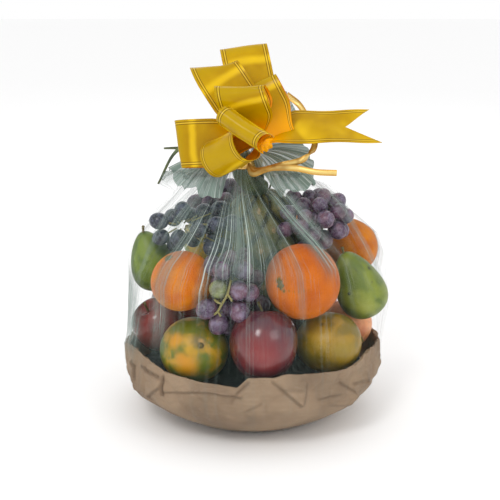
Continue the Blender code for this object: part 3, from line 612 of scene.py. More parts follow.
def add_pineapple():
    """A barrel of diamond-shaped eyes on two sets of spirals, each with a small knob at its middle."""

    def place(tilt, turn):
        z = -0.5 * PINEAPPLE_HEIGHT * math.cos(tilt)
        girth = max(0.0, math.sin(tilt)) ** 0.55 * (1.0 - 0.16 * tilt / math.pi)
        round_it, up = EYES_ROUND * turn / (2.0 * math.pi), 0.5 * z / EYE_HEIGHT
        p, q = (round_it + up) % 1.0 - 0.5, (round_it - up) % 1.0 - 0.5
        mound = 1.0 - (2.0 * max(abs(p), abs(q))) ** 3
        eye = 0.75 * mound + 0.35 * math.exp(-((p * p + q * q) / 0.012))
        radius = (PINEAPPLE_RADIUS - GROOVE_DEPTH + EYE_RISE * eye) * girth
        return level(turn) * radius + upward(z), eye

    grid = globe(208, 120, place)
    points = [[point for point, _ in row] for row in grid]
    shape = Shape()
    shape.skin(points, values={"eye": [[eye for _, eye in row] for row in grid]})
    skin = Finish("pineapple_skin", Roughness=0.62)
    eye = skin.attribute("eye")
    # Near black down in the grooves between the eyes: partly the skin's darker colour, partly painted shade. The
    # pale knob tops are their own colour.
    tone = skin.mix((26, 30, 16), (112, 106, 50), skin.ramp(eye, 0.15, 0.7))
    tone = skin.mix(tone, (176, 146, 92), skin.ramp(eye, 0.78, 1.0))
    tone = skin.mix(tone, (84, 96, 44), skin.ramp(skin.noise(60.0, 3.0), 0.45, 0.65, 0.0, 0.7))
    skin.colour(skin.mix(tone, (40, 36, 20), skin.ramp(skin.noise(420.0, 3.0), 0.55, 0.75, 0.0, 0.7)))
    skin.bump(skin.noise(500.0, 3.0), 0.0009)
    made = shape.make("pineapple_body", [skin], ("pineapple",))
    turn = PINEAPPLE_LEAN.to_track_quat("Z", "Y").to_matrix().to_4x4()
    made.data.transform(Matrix.Translation(PINEAPPLE_FOOT + PINEAPPLE_LEAN * 0.5) @ turn)
    return ride(made)


pineapple = add_pineapple()


# ---------------------------------------------------------------- grapes

# Each bunch: name, middle, half its size each way, grape radius, half the places tried on its outside, slot
BUNCHES = (
    ("grapes_front", (-0.026, -0.079, 0.156), (0.024, 0.023, 0.036), 0.0102, 90, "grape_purple_skin"),
    ("grapes_left", (-0.076, -0.014, 0.210), (0.036, 0.028, 0.019), 0.0100, 130, "grape_black_skin"),
    ("grapes_right", (0.073, 0.002, 0.214), (0.026, 0.032, 0.023), 0.0102, 80, "grape_purple_skin"),
    ("grapes_back", (-0.030, 0.076, 0.209), (0.034, 0.024, 0.020), 0.0106, 70, "grape_purple_skin"),
)
# Grapes of the front bunch where they show: a point of the front view, depth, radius
SHOWN_GRAPES = (
    (206.5, 309.0, -0.100, 0.0110), (218.5, 324.0, -0.098, 0.0108), (239.0, 311.5, -0.098, 0.0115),
    (218.5, 289.5, -0.100, 0.0104), (238.5, 290.5, -0.101, 0.0112), (222.0, 270.5, -0.097, 0.0104),
    (243.0, 270.0, -0.095, 0.0104),
)
GREEN_ONE = 3  # the place in SHOWN_GRAPES of the greenish one
# How close a grape comes to another, as part of both radii, and to a solid, as part of its own
GRAPE_GAP = 0.84
SOLID_GAP = 0.90
STALK_RADIUS = 0.0009
SHOWN_STALK_RADIUS = 0.0012
# The forked stalk at the front of the bunch: points of the front view, and depths
FORK = (222.0, 304.0, -0.111)
LOW_FORK = (218.0, 311.5, -0.110)
SHOWN_STALKS = (
    ((231.0, 280.0, -0.100), (227.5, 294.0, -0.110), FORK), (FORK, LOW_FORK),
    ((214.5, 299.5, -0.106), (218.0, 302.5, -0.110), FORK), (LOW_FORK, (214.5, 314.5, -0.107)),
    (LOW_FORK, (220.5, 316.0, -0.107)), ((227.5, 294.0, -0.110), (232.0, 301.0, -0.109)),
)


def depth_inside(tree, point):
    nearest, normal, _, distance = tree.find_nearest(point)
    return distance if (point - nearest).dot(normal) >= 0.0 else -distance


def grape_skin(name, light, dark, bloom):
    made = Finish(name, Specular_IOR_Level=0.5)
    tone = made.mix(dark, light, made.ramp(made.noise(75.0, 2.0), 0.38, 0.64))
    dust = made.ramp(made.noise(140.0, 4.0, 0.65), 0.44, 0.70, 0.0, 0.62)
    made.colour(made.mix(tone, bloom, dust))
    made.put(made.shader.inputs["Roughness"], made.ramp(dust, 0.0, 0.6, 0.26, 0.58))
    made.bump(made.noise(300.0, 2.0), 0.0002, 0.4)
    return made


GRAPE_SKINS = {
    "grape_purple_skin": grape_skin("grape_purple_skin", (112, 78, 96), (70, 50, 74), (142, 130, 156)),
    "grape_black_skin": grape_skin("grape_black_skin", (62, 62, 82), (34, 34, 48), (96, 102, 128)),
}
GREEN_GRAPE = grape_skin("grape_green_skin", (132, 140, 92), (104, 104, 74), (150, 150, 130))
STALK = Finish("grape_stalk", Roughness=0.6)
STALK.colour(STALK.mix((150, 148, 84), (122, 104, 62), STALK.noise(300.0)))
STALK.bump(STALK.noise(700.0), 0.0004)


def add_bunch(row, trees, draw):
    """A bunch of whole grapes that stays clear of the given solids."""
    name, middle, half, grape, tries, slot_name = row
    middle = Vector(middle)
    inward = Vector((-middle.x, -middle.y, 0.0)).normalized()
    golden = math.pi * (3.0 - math.sqrt(5.0))
    at_front = name == "grapes_front"
    placed = [(on_upright(u, v, y), radius) for u, v, y, radius in SHOWN_GRAPES] if at_front else []
    # outer grapes first, then others that fill the gaps between and behind them
    for i in range(tries * 60):
        if i < 2 * tries:
            z = 1.0 - (i + 0.5) / tries
            turn, deep = golden * i, 1.0
        else:
            z = draw.uniform(-1.0, 1.0)
            turn, deep = draw.uniform(0.0, 2.0 * math.pi), draw.uniform(0.35, 1.14)
        ring = math.sqrt(1.0 - z * z)
        way = Vector((ring * math.cos(turn), ring * math.sin(turn), z))
        radius = grape * draw.uniform(0.86, 1.05)
        spot = middle + Vector([way[k] * half[k] * deep for k in range(3)])
        if i >= 2 * tries:
            spot += inward * draw.uniform(0.0, 0.026)
            spot.z += 0.6 * min(0.0, way.z) * half[2] * deep
        if any((spot - other).length < GRAPE_GAP * (radius + size) for other, size in placed):
            continue
        if any(depth_inside(tree, spot) < radius * SOLID_GAP for tree in trees):
            continue
        placed.append((spot, radius))
    shape = Shape()
    for k, (spot, radius) in enumerate(placed):
        way = (spot - middle).normalized()
        slot = 2 if at_front and k == GREEN_ONE else 0
        radii = (0.94 * radius, 0.94 * radius, 1.08 * radius)
        ball(shape, spot, radii, way.to_track_quat("Z", "Y"), 18, 12, slot)
        path = [spot - way * radius * 0.98, spot - way * radius * 1.2, middle.lerp(spot, 0.25)]
        tube(shape, path, lambda t: STALK_RADIUS, 5, 1)
    for points in SHOWN_STALKS if at_front else ():
        path = smooth_path([on_upright(*point) for point in points], 9)
        tube(shape, path, lambda t: SHOWN_STALK_RADIUS, 7, 1)
    return ride(shape.make(name + "_bunch", [GRAPE_SKINS[slot_name], STALK, GREEN_GRAPE], (name,)))


draw = random.Random(11)
solid_trees = [tree_of(nodes[name]) for name in [row[0] for row in FRUIT] + ["tray", "packing", "pineapple"]]
bunches = []
for row in BUNCHES:
    bunches.append(add_bunch(row, solid_trees, draw))
    solid_trees.append(tree_of(nodes[row[0]]))


# ---------------------------------------------------------------- tray and packing

# The paper's top edge: (angle in degrees, height)
RIM = (
    (-180.0, 0.0715), (-166.0, 0.083), (-155.0, 0.0885), (-148.0, 0.087), (-140.0, 0.0842), (-131.0, 0.0795),
    (-121.0, 0.0790), (-112.0, 0.0780), (-104.0, 0.0772), (-96.5, 0.0757), (-92.0, 0.0862), (-86.0, 0.0863),
    (-81.5, 0.0857), (-76.0, 0.0890), (-64.0, 0.0856), (-51.5, 0.0816), (-45.5, 0.0802), (-40.0, 0.0806),
    (-36.0, 0.0828), (-27.0, 0.0885), (-14.0, 0.0835), (0.0, 0.0785), (24.0, 0.0745), (40.0, 0.0715),
    (62.0, 0.0770), (84.0, 0.0800), (100.0, 0.0810), (105.0, 0.0850), (118.0, 0.0845), (132.0, 0.0790),
    (146.0, 0.0745), (164.0, 0.0730),
)
# Soft folds, as in the solid: angle, half width in degrees, lower and upper end, how far each stands out
PAPER_FOLDS = (
    (-152.0, 11.0, 0.020, 0.066, 0.0040), (-128.0, 13.0, 0.030, 0.074, 0.0018),
    (-97.0, 12.0, 0.038, 0.076, 0.0014), (-72.0, 9.0, 0.034, 0.072, 0.0020),
    (-42.0, 14.0, 0.022, 0.068, 0.0026), (28.0, 12.0, 0.020, 0.064, 0.0034),
    (64.0, 13.0, 0.030, 0.070, 0.0020), (112.0, 14.0, 0.024, 0.072, 0.0022),
    (148.0, 12.0, 0.020, 0.066, 0.0036),
)
# Edges of folded paper, from one point of the front view to another. The paper to the left of that way
# stands out by the first length and falls back over the second.
LEDGES = (
    ((166, 390.5), (203, 391), 0.0013, 0.012), ((203, 391), (241, 396), 0.0012, 0.010),
    ((165.0, 394), (164.5, 375), 0.0028, 0.012), ((249.5, 380), (238, 393), 0.0015, 0.016),
    ((238, 393), (233, 402), 0.0007, 0.010), ((273, 381), (301, 405), 0.0014, 0.014),
    ((302, 405), (306, 384), 0.0011, 0.010), ((283, 388.5), (303, 388.5), 0.0007, 0.006),
    ((352, 392), (338, 383), 0.0016, 0.010), ((346, 404), (352, 391), 0.0022, 0.010),
    ((330, 404), (346, 404), 0.0010, 0.008), ((139, 378), (134, 360), 0.0018, 0.010),
    ((134, 386), (152, 398), 0.0014, 0.010), ((163, 377), (142, 366), 0.0018, 0.010),
    ((150, 396), (164, 385), 0.0014, 0.008), ((318, 398), (338, 392), 0.0012, 0.010),
    ((262, 404), (246, 412), 0.0008, 0.012), ((366, 378), (352, 384), 0.0014, 0.010),
)
# The same at the back, with an angle and a height for each point
BACK_LEDGES = (
    ((30.0, 0.050), (38.0, 0.075), 0.0018, 0.014), ((60.0, 0.066), (84.0, 0.068), 0.0012, 0.010),
    ((102.0, 0.060), (104.0, 0.088), 0.0022, 0.014), ((118.0, 0.070), (140.0, 0.066), 0.0014, 0.010),
    ((150.0, 0.046), (156.0, 0.072), 0.0020, 0.012), ((-10.0, 0.060), (-16.0, 0.082), 0.0018, 0.012),
    ((4.0, 0.058), (28.0, 0.062), 0.0012, 0.010), ((168.0, 0.060), (176.0, 0.040), 0.0016, 0.014),
)
# The middle of the tray's wall in the front view
WALL_MIDDLE = (250.0, 400.0)
LEDGE_STRENGTH = 1.8
LEDGE_REACH = 32.0  # degrees
RIM_STEPS = ((0.0009, -0.0003), (0.0018, 0.0006))  # how far in and down the paper's edge turns
# A corner of paper that stands out at the front right: angle, height, size, how far out
POINTED_CORNER = (-34.0, 0.060, 0.013, 0.0045)


def tray_radius(z):
    rise = min(1.0, max(0.0, z) / 0.058)
    return TRAY_BASE_RADIUS + (TRAY_RIM_RADIUS - TRAY_BASE_RADIUS) * (1.0 - (1.0 - rise) ** 2.3)


def fold_lift(degrees, z):
    lift = 0.0
    for centre, half_width, low, high, height in PAPER_FOLDS:
        side = abs(turn_between(degrees, centre)) / half_width
        up = (z - low) / (high - low)
        if side < 1.0 and 0.0 < up < 1.0:
            lift = max(lift, height * (1.0 - side) * math.sin(math.pi * up) ** 0.5)
    return lift


def on_wall(tree, u, v):
    """The angle and height at which a point of the front view meets the outside of the tray. A point just off
    it is moved in step by step."""
    for step in range(40):
        across, down = u + (WALL_MIDDLE[0] - u) * 0.01 * step, v + (WALL_MIDDLE[1] - v) * 0.02 * step
        hit, normal, _, _ = tree.ray_cast(camera.location, sight(across, down))
        if hit is not None and normal.x * hit.x + normal.y * hit.y > 0.0:
            return math.degrees(math.atan2(hit.y, hit.x)), hit.z
    return None


def ledge_lines():
    tree = tree_of(nodes["tray"])
    lines = [(on_wall(tree, *start), on_wall(tree, *end), *rest) for start, end, *rest in LEDGES]
    return [line for line in lines if line[0] and line[1]] + list(BACK_LEDGES)


def ledge_lift(lines, degrees, z):
    """How far the ledges stand out at a place, and how much painted shade lies in the crease beside one there.
    """
    lift, shade = 0.0, 0.0
    per_degree = TRAY_RIM_RADIUS * math.pi / 180.0
    for (a0, z0), (a1, z1), height, fall in lines:
        if abs(turn_between(degrees, a0)) > LEDGE_REACH:
            continue
        x, y = turn_between(degrees, a0) * per_degree, z - z0
        dx, dy = turn_between(a1, a0) * per_degree, z1 - z0
        length = math.hypot(dx, dy)
        along = (x * dx + y * dy) / length
        side = (dx * y - dy * x) / length
        if side < -0.0040 or side > 3.0 * fall:
            continue
        ends = smooth_step(-0.003, 0.001, along) * smooth_step(length + 0.003, length - 0.001, along)
        # painted shade along the low side of each ledge
        shade = max(shade, ends * math.exp(-(((side + 0.0010) / 0.0014) ** 2)) * min(1.0, height / 0.0018))
        lift += height * smooth_step(-0.0012, 0.0010, side) * math.exp(-max(0.0, side) / fall) * ends
    return LEDGE_STRENGTH * lift, shade


def crumple(way, z):
    """Shallow dents between sharp folds, deeper at the left and right."""
    soft = noise.noise(Vector((way.x * 5.5, way.y * 5.5, z * 38.0))) * 0.0009
    folds = noise.voronoi(Vector((way.x * 6.5, way.y * 6.5, z * 46.0)))[0]
    rough = 1.0 + 0.8 * smooth_step(-0.5, -0.85, way.x) + 0.5 * smooth_step(0.55, 0.85, way.x)
    return soft + 0.0042 * rough * min(0.35, folds[1] - folds[0]) * smooth_step(0.012, 0.05, z)


def add_tray():
    segments, levels, inner_levels = 560, 46, 14
    lines = ledge_lines()
    degrees, ways = all_round(segments)
    rim = [in_table(RIM, d, eased=False)[0] for d in degrees]
    outside, inside, shades = [], [], []
    for k in range(levels + 1):
        row, dark = [], []
        for d, way, edge in zip(degrees, ways, rim):
            z = BASE_Z + (edge - BASE_Z) * k / levels
            radius = tray_radius(z - BASE_Z) + fold_lift(d, z)
            shade = 0.0
            if k > 2:
                lift, shade = ledge_lift(lines, d, z)
                middle, height, size, out = POINTED_CORNER
                corner = math.hypot(turn_between(d, middle) * 0.0024, z - height)
                radius += crumple(way, z) + lift + out * max(0.0, 1.0 - corner / size)
            row.append(way * radius + upward(z))
            dark.append(shade)
        outside.append(row)
        shades.append(dark)
    for inset, drop in RIM_STEPS:
        inside.append([point - way * inset - upward(drop) for way, point in zip(ways, outside[-1])])
    for k in range(inner_levels, -1, -1):
        row = []
        for way, edge in zip(ways, rim):
            z = BASE_Z + TRAY_WALL + (edge - TRAY_WALL - BASE_Z - 0.001) * k / inner_levels
            radius = tray_radius(z - BASE_Z - TRAY_WALL) - TRAY_WALL + (crumple(way, z + 0.3) if k else 0.0)
            row.append(way * radius + upward(z))
        inside.append(row)
    rows = [[upward(BASE_Z)]] + outside + inside + [[upward(BASE_Z + TRAY_WALL)]]
    shape = Shape()
    shape.skin(rows, values={"crease": [[0.0]] + shades})
    paper = Finish("paper", Roughness=0.72, Specular_IOR_Level=0.25)
    cloud = paper.ramp(paper.noise(16.0, 4.0, 0.55), 0.36, 0.66)
    tone = paper.mix((124, 103, 83), (150, 127, 103), cloud)
    fibre = paper.noise(900.0, 3.0, 0.6)
    tone = paper.mix(tone, (128, 100, 78), paper.ramp(fibre, 0.5, 0.8, 0.0, 0.35))
    stripes = paper.noise(1.0, 2.0, at=paper.vector("MULTIPLY", paper.place, (60.0, 60.0, 900.0)))
    tone = paper.mix(tone, (196, 168, 140), paper.ramp(stripes, 0.5, 0.8, 0.0, 0.22))
    # Painted shade in the creases beside the ledges, from the crease values.
    paper.colour(paper.mix(tone, (74, 52, 38), paper.times(paper.attribute("crease"), 0.75)))
    paper.bump(paper.noise(60.0, 4.0, 0.6), 0.0016, 0.5)
    paper.bump(fibre, 0.0002, 0.6)
    return ride(shape.make("paper_tray", [paper], ("tray",), 40))


tray = add_tray()


def add_packing():
    """A crumpled mound a little inside its solid, coloured near black: painted shade for the gaps between the
    fruit.
    """
    floor = BASE_Z + TRAY_WALL + GAP
    outline = [(TRAY_BASE_RADIUS - 0.009, 0.0, floor)]
    outline += [(tray_radius(rise) - 0.010, 0.0, floor + rise) for rise in (0.014, 0.030)]
    outline += [(tray_radius(0.040) - 0.010, 0.0, 0.046), (0.085, 0.0, 0.049), (0.058, 0.0, 0.055)]
    outline += [(0.046, 0.0, 0.074), (0.034, 0.0, 0.091)]
    rows = [[upward(floor)]]
    for k, point in enumerate(smooth_path(outline, 44)):
        row = []
        for a in (2.0 * math.pi * i / 150 for i in range(150)):
            spot = Vector((math.cos(a) * 7.0, math.sin(a) * 7.0, k * 0.28))
            cells = noise.voronoi(spot)[0]
            sink = 0.004 * max(0.0, 0.8 - (cells[1] - cells[0]) * 2.0) + 0.002 * abs(noise.noise(spot * 2.3))
            sink *= smooth_step(0.0, 3.0, k)
            row.append(level(a) * (point.x - sink) + upward(point.z - 0.6 * sink))
        rows.append(row)
    rows.append([upward(0.0905)])
    shape = Shape()
    shape.skin(rows)
    tissue = Finish("tissue", Roughness=0.7)
    # near black: painted shade seen in the gaps between the fruit
    tissue.colour(tissue.mix((18, 24, 28), (38, 46, 52), tissue.ramp(tissue.noise(45.0, 3.0), 0.35, 0.7)))
    tissue.bump(tissue.noise(160.0, 3.0), 0.0012, 0.7)
    return ride(shape.make("packing_gap_shade", [tissue], ("packing",), 50))


add_packing()

# ---------------------------------------------------------------- strips: leaves and ribbons


def strip(shape, path, across, half_width, thickness, columns, cup=0.0, slots=(0, 1), wave=0.0, reach=None):
    """A thin closed band along a path. across and half_width are functions of how far along it is, 0 to 1.
    Its values say how far across each point is, -1 to 1, and how far out it reaches, 0 to 1."""
    last = len(path) - 1
    steps = [2.0 * k / columns - 1.0 for k in range(columns + 1)]
    rows, out = [], []
    for i, point in enumerate(path):
        t = i / last
        along = (path[min(i + 1, last)] - path[max(i - 1, 0)]).normalized()
        side = Vector(across(t))
        side = (side - along * side.dot(along)).normalized()
        up = along.cross(side)
        half = half_width(t)
        under, over = [], []
        for f in steps:
            lift = cup * (1.0 - f ** 2) + wave * math.sin(9.0 * t + 2.5 * (f + 1.0))
            spot = point + side * half * f + up * lift
            under.append(spot - up * 0.5 * thickness)
            over.append(spot + up * 0.5 * thickness)
        rows.append(under + over[::-1])
        out.append([reach(t) if reach else 0.5] * len(rows[0]))
    face_slots = [slots[0]] * columns + [slots[1]] * (columns + 2)
    start = len(shape.points)
    shape.skin(rows, slots=face_slots, values={"across": [steps + steps[::-1]] * len(rows), "reach": out})
    shape.close_ends(start, len(rows), columns, slots[1])


# Each leaf: its width, and its middle line from the top of the neck
CROWN_LEAVES = (
    (0.010, (-0.004, 0.0, 0.002), (-0.03, 0.006, 0.006), (-0.058, 0.009, -0.002), (-0.083, 0.009, -0.003)),
    (0.009, (-0.003, -0.003, 0.002), (-0.034, -0.006, 0.01), (-0.068, -0.009, -0.002), (-0.089, -0.008, -0.038)),
    (0.011, (-0.002, 0.004, 0.002), (-0.018, 0.02, 0.014), (-0.036, 0.036, 0.018), (-0.054, 0.046, 0.01)),
    (0.010, (0.004, -0.001, 0.002), (0.026, 0.002, 0.01), (0.044, 0.006, 0.01), (0.058, 0.008, 0.004)),
    (0.012, (0.001, 0.004, 0.002), (0.002, 0.02, 0.014), (0.006, 0.038, 0.026), (0.01, 0.056, 0.03)),
)
LEAF_TILT = Vector((0.0, -0.5, 0.87))
STEM_RADIUS = 0.0105


def add_crown():
    foot = PINEAPPLE_FOOT + PINEAPPLE_LEAN * (1.0 + 2.0 * GAP / PINEAPPLE_LEAN.length)
    top = Vector((NECK_CENTRE.x, NECK_CENTRE.y, NECK_HIGH + 0.006))
    shape = Shape()
    bend = Vector((-0.006, 0.005, 0.256))
    stem = smooth_path((foot, bend, Vector((NECK_CENTRE.x, NECK_CENTRE.y, NECK_LOW)), top), 24)

    def thickness(t):
        return STEM_RADIUS * (1.2 - 0.2 * min(1.0, t / 0.6)) * (1.0 - 0.3 * smooth_step(0.85, 1.0, t))

    def pointed(t):
        return 0.0045 * (1.0 - 0.9 * t ** 2)

    tube(shape, stem, thickness, 20)
    # short leaves lie along the stem inside the film
    for k in range(16):
        t = 0.02 + 0.05 * k
        base, way = stem[min(22, int(t * 23))], level(2.4 * k)
        reach = STEM_RADIUS * (1.18 - 0.2 * min(1.0, t / 0.6))
        bulge = ((-0.002, 0.0), (0.001, 0.010), (-0.001, 0.020))
        path = smooth_path([base + way * (reach + out) + upward(rise) for out, rise in bulge], 7)
        if path[-1].z < NECK_HIGH:
            side = (way.y, -way.x, 0.0)
            strip(shape, path, lambda t: side, pointed, 0.0010, 4, 0.0008, (0, 0))
    for width, *points in CROWN_LEAVES:
        path = smooth_path([top + Vector(point) for point in points], 26)
        flat = (path[-1] - path[0]).cross(LEAF_TILT)

        def half_width(t):
            return 0.5 * width * (1.0 - 0.93 * t ** 1.5) * (1.0 + 0.05 * math.sin(60.0 * t))

        strip(shape, path, lambda t: flat, half_width, 0.0011, 6, 0.0012, (0, 0))
    leaf = Finish("crown_leaf", Roughness=0.5)
    tone = leaf.mix((52, 70, 44), (92, 108, 62), leaf.ramp(leaf.noise(60.0, 3.0), 0.4, 0.65))
    edge = leaf.ramp(leaf.gap(leaf.attribute("across")), 0.75, 1.0, 0.0, 0.5)
    leaf.colour(leaf.mix(tone, (126, 122, 92), edge))
    leaf.bump(leaf.noise(500.0), 0.0002)
    return ride(shape.make("crown", [leaf], ("pineapple_crown",), 50))


crown = add_crown()

# ---------------------------------------------------------------- film

# The film's torn edge round the neck: angle, radius, height
FRILL_EDGE = (
    (-180.0, 0.077, 0.262), (-150.0, 0.066, 0.250), (-124.0, 0.046, 0.244), (-98.0, 0.022, 0.283),
    (-62.0, 0.024, 0.283), (-40.0, 0.056, 0.243), (-14.0, 0.080, 0.254), (12.0, 0.074, 0.279),
    (42.0, 0.066, 0.336), (90.0, 0.050, 0.296), (135.0, 0.058, 0.276),
)
# Where folds of film lie over each other and turn milky: (angle, half width in degrees, low, high, strength)
FILM_BANDS = (
    (-98.0, 29.0, 0.160, 0.262, 0.64), (-80.0, 10.0, 0.150, 0.262, 0.30), (-108.0, 9.0, 0.150, 0.262, 0.30),
    (-137.0, 9.0, 0.080, 0.225, 0.48), (-127.0, 3.0, 0.130, 0.250, 0.30), (-117.0, 3.5, 0.120, 0.250, 0.35),
    (-52.0, 8.0, 0.165, 0.240, 0.80), (-68.0, 3.0, 0.120, 0.250, 0.30), (-38.0, 3.0, 0.120, 0.220, 0.25),
    (-172.0, 30.0, 0.060, 0.112, 1.20), (-176.0, 26.0, 0.060, 0.138, 1.10), (-160.0, 5.0, 0.110, 0.250, 0.35),
    (-12.0, 6.0, 0.130, 0.250, 0.40), (20.0, 9.0, 0.120, 0.262, 0.45), (48.0, 4.0, 0.090, 0.250, 0.35),
    (82.0, 20.0, 0.130, 0.262, 0.50), (112.0, 5.0, 0.090, 0.250, 0.40), (-40.0, 8.0, 0.185, 0.262, 0.72),
    (-149.0, 9.0, 0.180, 0.262, 0.62), (140.0, 9.0, 0.120, 0.255, 0.45), (168.0, 5.0, 0.100, 0.250, 0.35),
)
FILM_BASE = 0.0002
FILM_LOW = 0.0015
PLEATS = 34.0  # round the neck
FAR_OUT = 0.3  # beyond everything
FILM_INSET = 0.0008  # inside its solid
FILM_CLEAR = 0.0007  # outside its contents
PLEAT_DEPTH = 0.0011
RIPPLE_HEIGHT = 0.0006


def film_middle(z):
    shift = smooth_step(0.19, NECK_LOW, z)
    return Vector((NECK_CENTRE.x * shift, NECK_CENTRE.y * shift, z))


def reach_in(tree, middle, way):
    """How far out a thing reaches from the middle in a level direction."""
    hit = tree.ray_cast(middle + way * FAR_OUT, -way, FAR_OUT)
    return FAR_OUT - hit[3] if hit[0] is not None else 0.0


def draped(heights, ways, contents):
    """How far out the film lies at each height and direction: just inside its solid, but outside the
    contents, and drawn straight over the hollows between them."""
    count = len(ways)
    solid = tree_of(nodes["film_wrap"])
    trees = [tree_of(thing) for thing in contents]
    grid = []
    for middle in map(film_middle, heights):
        row = [reach_in(solid, middle, way) for way in ways]
        for _ in range(14):
            row = [0.25 * row[i - 1] + 0.5 * row[i] + 0.25 * row[(i + 1) % count] for i in range(count)]
        inner = [max(reach_in(tree, middle, way) for tree in trees) for way in ways]
        row = [max(reach - FILM_INSET, least + FILM_CLEAR) for reach, least in zip(row, inner)]
        for _ in range(10):
            row = [max(row[i], 0.5 * (row[i - 1] + row[(i + 1) % count]) - 0.00002) for i in range(count)]
        grid.append(row)
    for _ in range(3):
        between = zip(grid, grid[1:], grid[2:])
        grid[1:-1] = [[max(b, 0.5 * (a + c)) for a, b, c in zip(*rows)] for rows in between]
    return grid


def milkiness(degrees, z):
    value = 0.55 * smooth_step(0.248, 0.272, z)
    for centre, half, low, high, strength in FILM_BANDS:
        side = abs(turn_between(degrees, centre)) / half
        if side < 1.0:
            rise = smooth_step(low, low + 0.05, z) * smooth_step(high + 0.03, high - 0.01, z)
            value = max(value, strength * (1.0 - side ** 2) ** 2 * rise)
    return value


def frill_point(d, way, s):
    """A point of the frill, s from 0 at the neck to 1 at its edge, and how milky it is."""
    a = math.radians(d)
    reach, height = in_table(FRILL_EDGE, d)
    torn = noise.noise(Vector((way.x * 5.0, way.y * 5.0, 3.1)))
    torn += 0.5 * noise.noise(Vector((way.x * 17.0, way.y * 17.0, 7.7)))
    reach *= 1.0 + 0.10 * torn * s * s
    ruffle = 0.0030 * math.cos(10.0 * a) + 0.0022 * math.cos(23.0 * a + 1.0) + 0.0016 * math.cos(41.0 * a)
    radius = NECK_RADIUS + (reach - NECK_RADIUS) * s
    z = NECK_HIGH + (height - NECK_HIGH) * s ** 1.4
    z += 0.004 * math.sin(math.pi * s ** 0.7) + (ruffle + 0.004) * s
    return Vector((NECK_CENTRE.x, NECK_CENTRE.y, z)) + way * radius, 1.30 + 0.25 * torn


def add_film(contents):
    segments, body_rows, frill_rows = 300, 74, 20
    degrees, ways = all_round(segments)
    heights = [FILM_LOW + (NECK_LOW - FILM_LOW) * k / (body_rows - 1) for k in range(body_rows)]
    rows = [[upward(FILM_BASE)], [way * (TRAY_BASE_RADIUS + 0.002) + upward(FILM_BASE) for way in ways]]
    haze = [[0.0], [0.0] * segments]
    for z, reaches in zip(heights, draped(heights, ways, contents)):
        row = []
        near_neck = smooth_step(0.20, NECK_LOW, z)
        for d, way, reach in zip(degrees, ways, reaches):
            a = math.radians(d)
            pleat = math.cos(PLEATS * a + 3.0 * noise.noise(way * 2.0)) + 0.6 * math.cos(57.0 * a + 2.0)
            ripple = noise.noise(Vector((way.x * 14.0, way.y * 14.0, z * 9.0)))
            lift = PLEAT_DEPTH * near_neck * (pleat + 1.2) * min(1.0, reach / 0.05)
            lift += RIPPLE_HEIGHT * max(0.0, ripple)
            row.append(film_middle(z) + way * (reach + lift))
        rows.append(row)
        haze.append([milkiness(d, z) for d in degrees])
    neck = [NECK_RADIUS + PLEAT_DEPTH * math.cos(PLEATS * math.radians(d)) for d in degrees]
    for z in (0.272, 0.277, 0.282, NECK_HIGH):
        rows.append([film_middle(z) + way * radius for way, radius in zip(ways, neck)])
        haze.append([0.6] * segments)
    for k in range(1, frill_rows + 1):
        frill = [frill_point(d, way, k / frill_rows) for d, way in zip(degrees, ways)]
        rows.append([point for point, _ in frill])
        haze.append([milky for _, milky in frill])
    shape = Shape()
    shape.skin(rows, values={"haze": haze})
    return ride(shape.make("film", [film_finish()], ("film_wrap",)))


def film_finish():
    """Clear film: almost invisible where it lies single, milky in bands, with painted highlights as pale streaks
    along its pleats.
    """
    film = Finish("film", Roughness=0.28, Specular_IOR_Level=0.12)
    split = film.add("ShaderNodeSeparateXYZ", {"Vector": film.place})
    x, y, z = (split.outputs[key] for key in "XYZ")
    from_neck = film.plus(x, film.times(film.ramp(z, 0.19, NECK_LOW), -NECK_CENTRE.x))
    way = film.vector("NORMALIZE", film.add("ShaderNodeCombineXYZ", {"X": from_neck, "Y": y}).outputs[0])

    def streaks(fine, along, detail=1.0):
        height = film.add("ShaderNodeCombineXYZ", {"Z": film.times(z, along)}).outputs[0]
        return film.noise(1.0, detail, at=film.vector("ADD", film.vector("SCALE", way, fine), height))

    haze = film.attribute("haze")
    # Painted highlight: fine pale streaks for the light caught along the pleats, which make the film paler and
    # less clear there.
    fine = film.ramp(film.gap(streaks(26.0, 1.5), 0.5), 0.020, 0.004)
    finer = film.ramp(film.gap(streaks(58.0, 2.5), 0.56), 0.022, 0.004)
    broad = film.ramp(streaks(22.0, 3.0, 2.0), 0.42, 0.68)
    high = film.ramp(z, 0.07, 0.23, 0.30, 1.0)
    lines = film.times(film.plus(film.times(fine, 0.50), film.times(finer, 0.40)), high)
    lines = film.times(lines, film.ramp(haze, 0.0, 0.4, 0.55, 1.0))
    body = film.times(haze, film.plus(film.times(broad, 0.5), 0.55))
    cover = film.plus(film.plus(body, lines), 0.035, clamp=True)
    film.colour(film.mix((118, 136, 128), (188, 200, 194), film.times(lines, 2.0, clamp=True)))
    film.bump(film.plus(fine, broad), 0.0005, 0.5)
    clear = film.add("ShaderNodeBsdfTransparent")
    blend = film.add("ShaderNodeMixShader", {0: cover, 1: clear.outputs[0], 2: film.shader.outputs[0]})
    film.put(film.tree.nodes["Material Output"].inputs["Surface"], blend.outputs[0])
    return film


add_film(fruit + bunches + [pineapple, tray, crown])

# ---------------------------------------------------------------- tie, curls and bow

# The curls' middle lines from where they leave the tie, as in the solids
FRONT_CURL = (
    (0.000, 0.000, 0.000), (0.006, -0.013, -0.006), (0.024, -0.026, 0.003), (0.048, -0.026, 0.003),
    (0.070, -0.022, -0.002), (0.092, -0.018, -0.004),
)
BACK_CURL = (
    (0.000, 0.000, 0.000), (0.010, -0.012, -0.003), (0.034, -0.018, 0.004), (0.058, -0.014, 0.010),
    (0.070, 0.002, 0.022), (0.064, 0.020, 0.042), (0.055, 0.028, 0.058), (0.041, 0.026, 0.070),
)


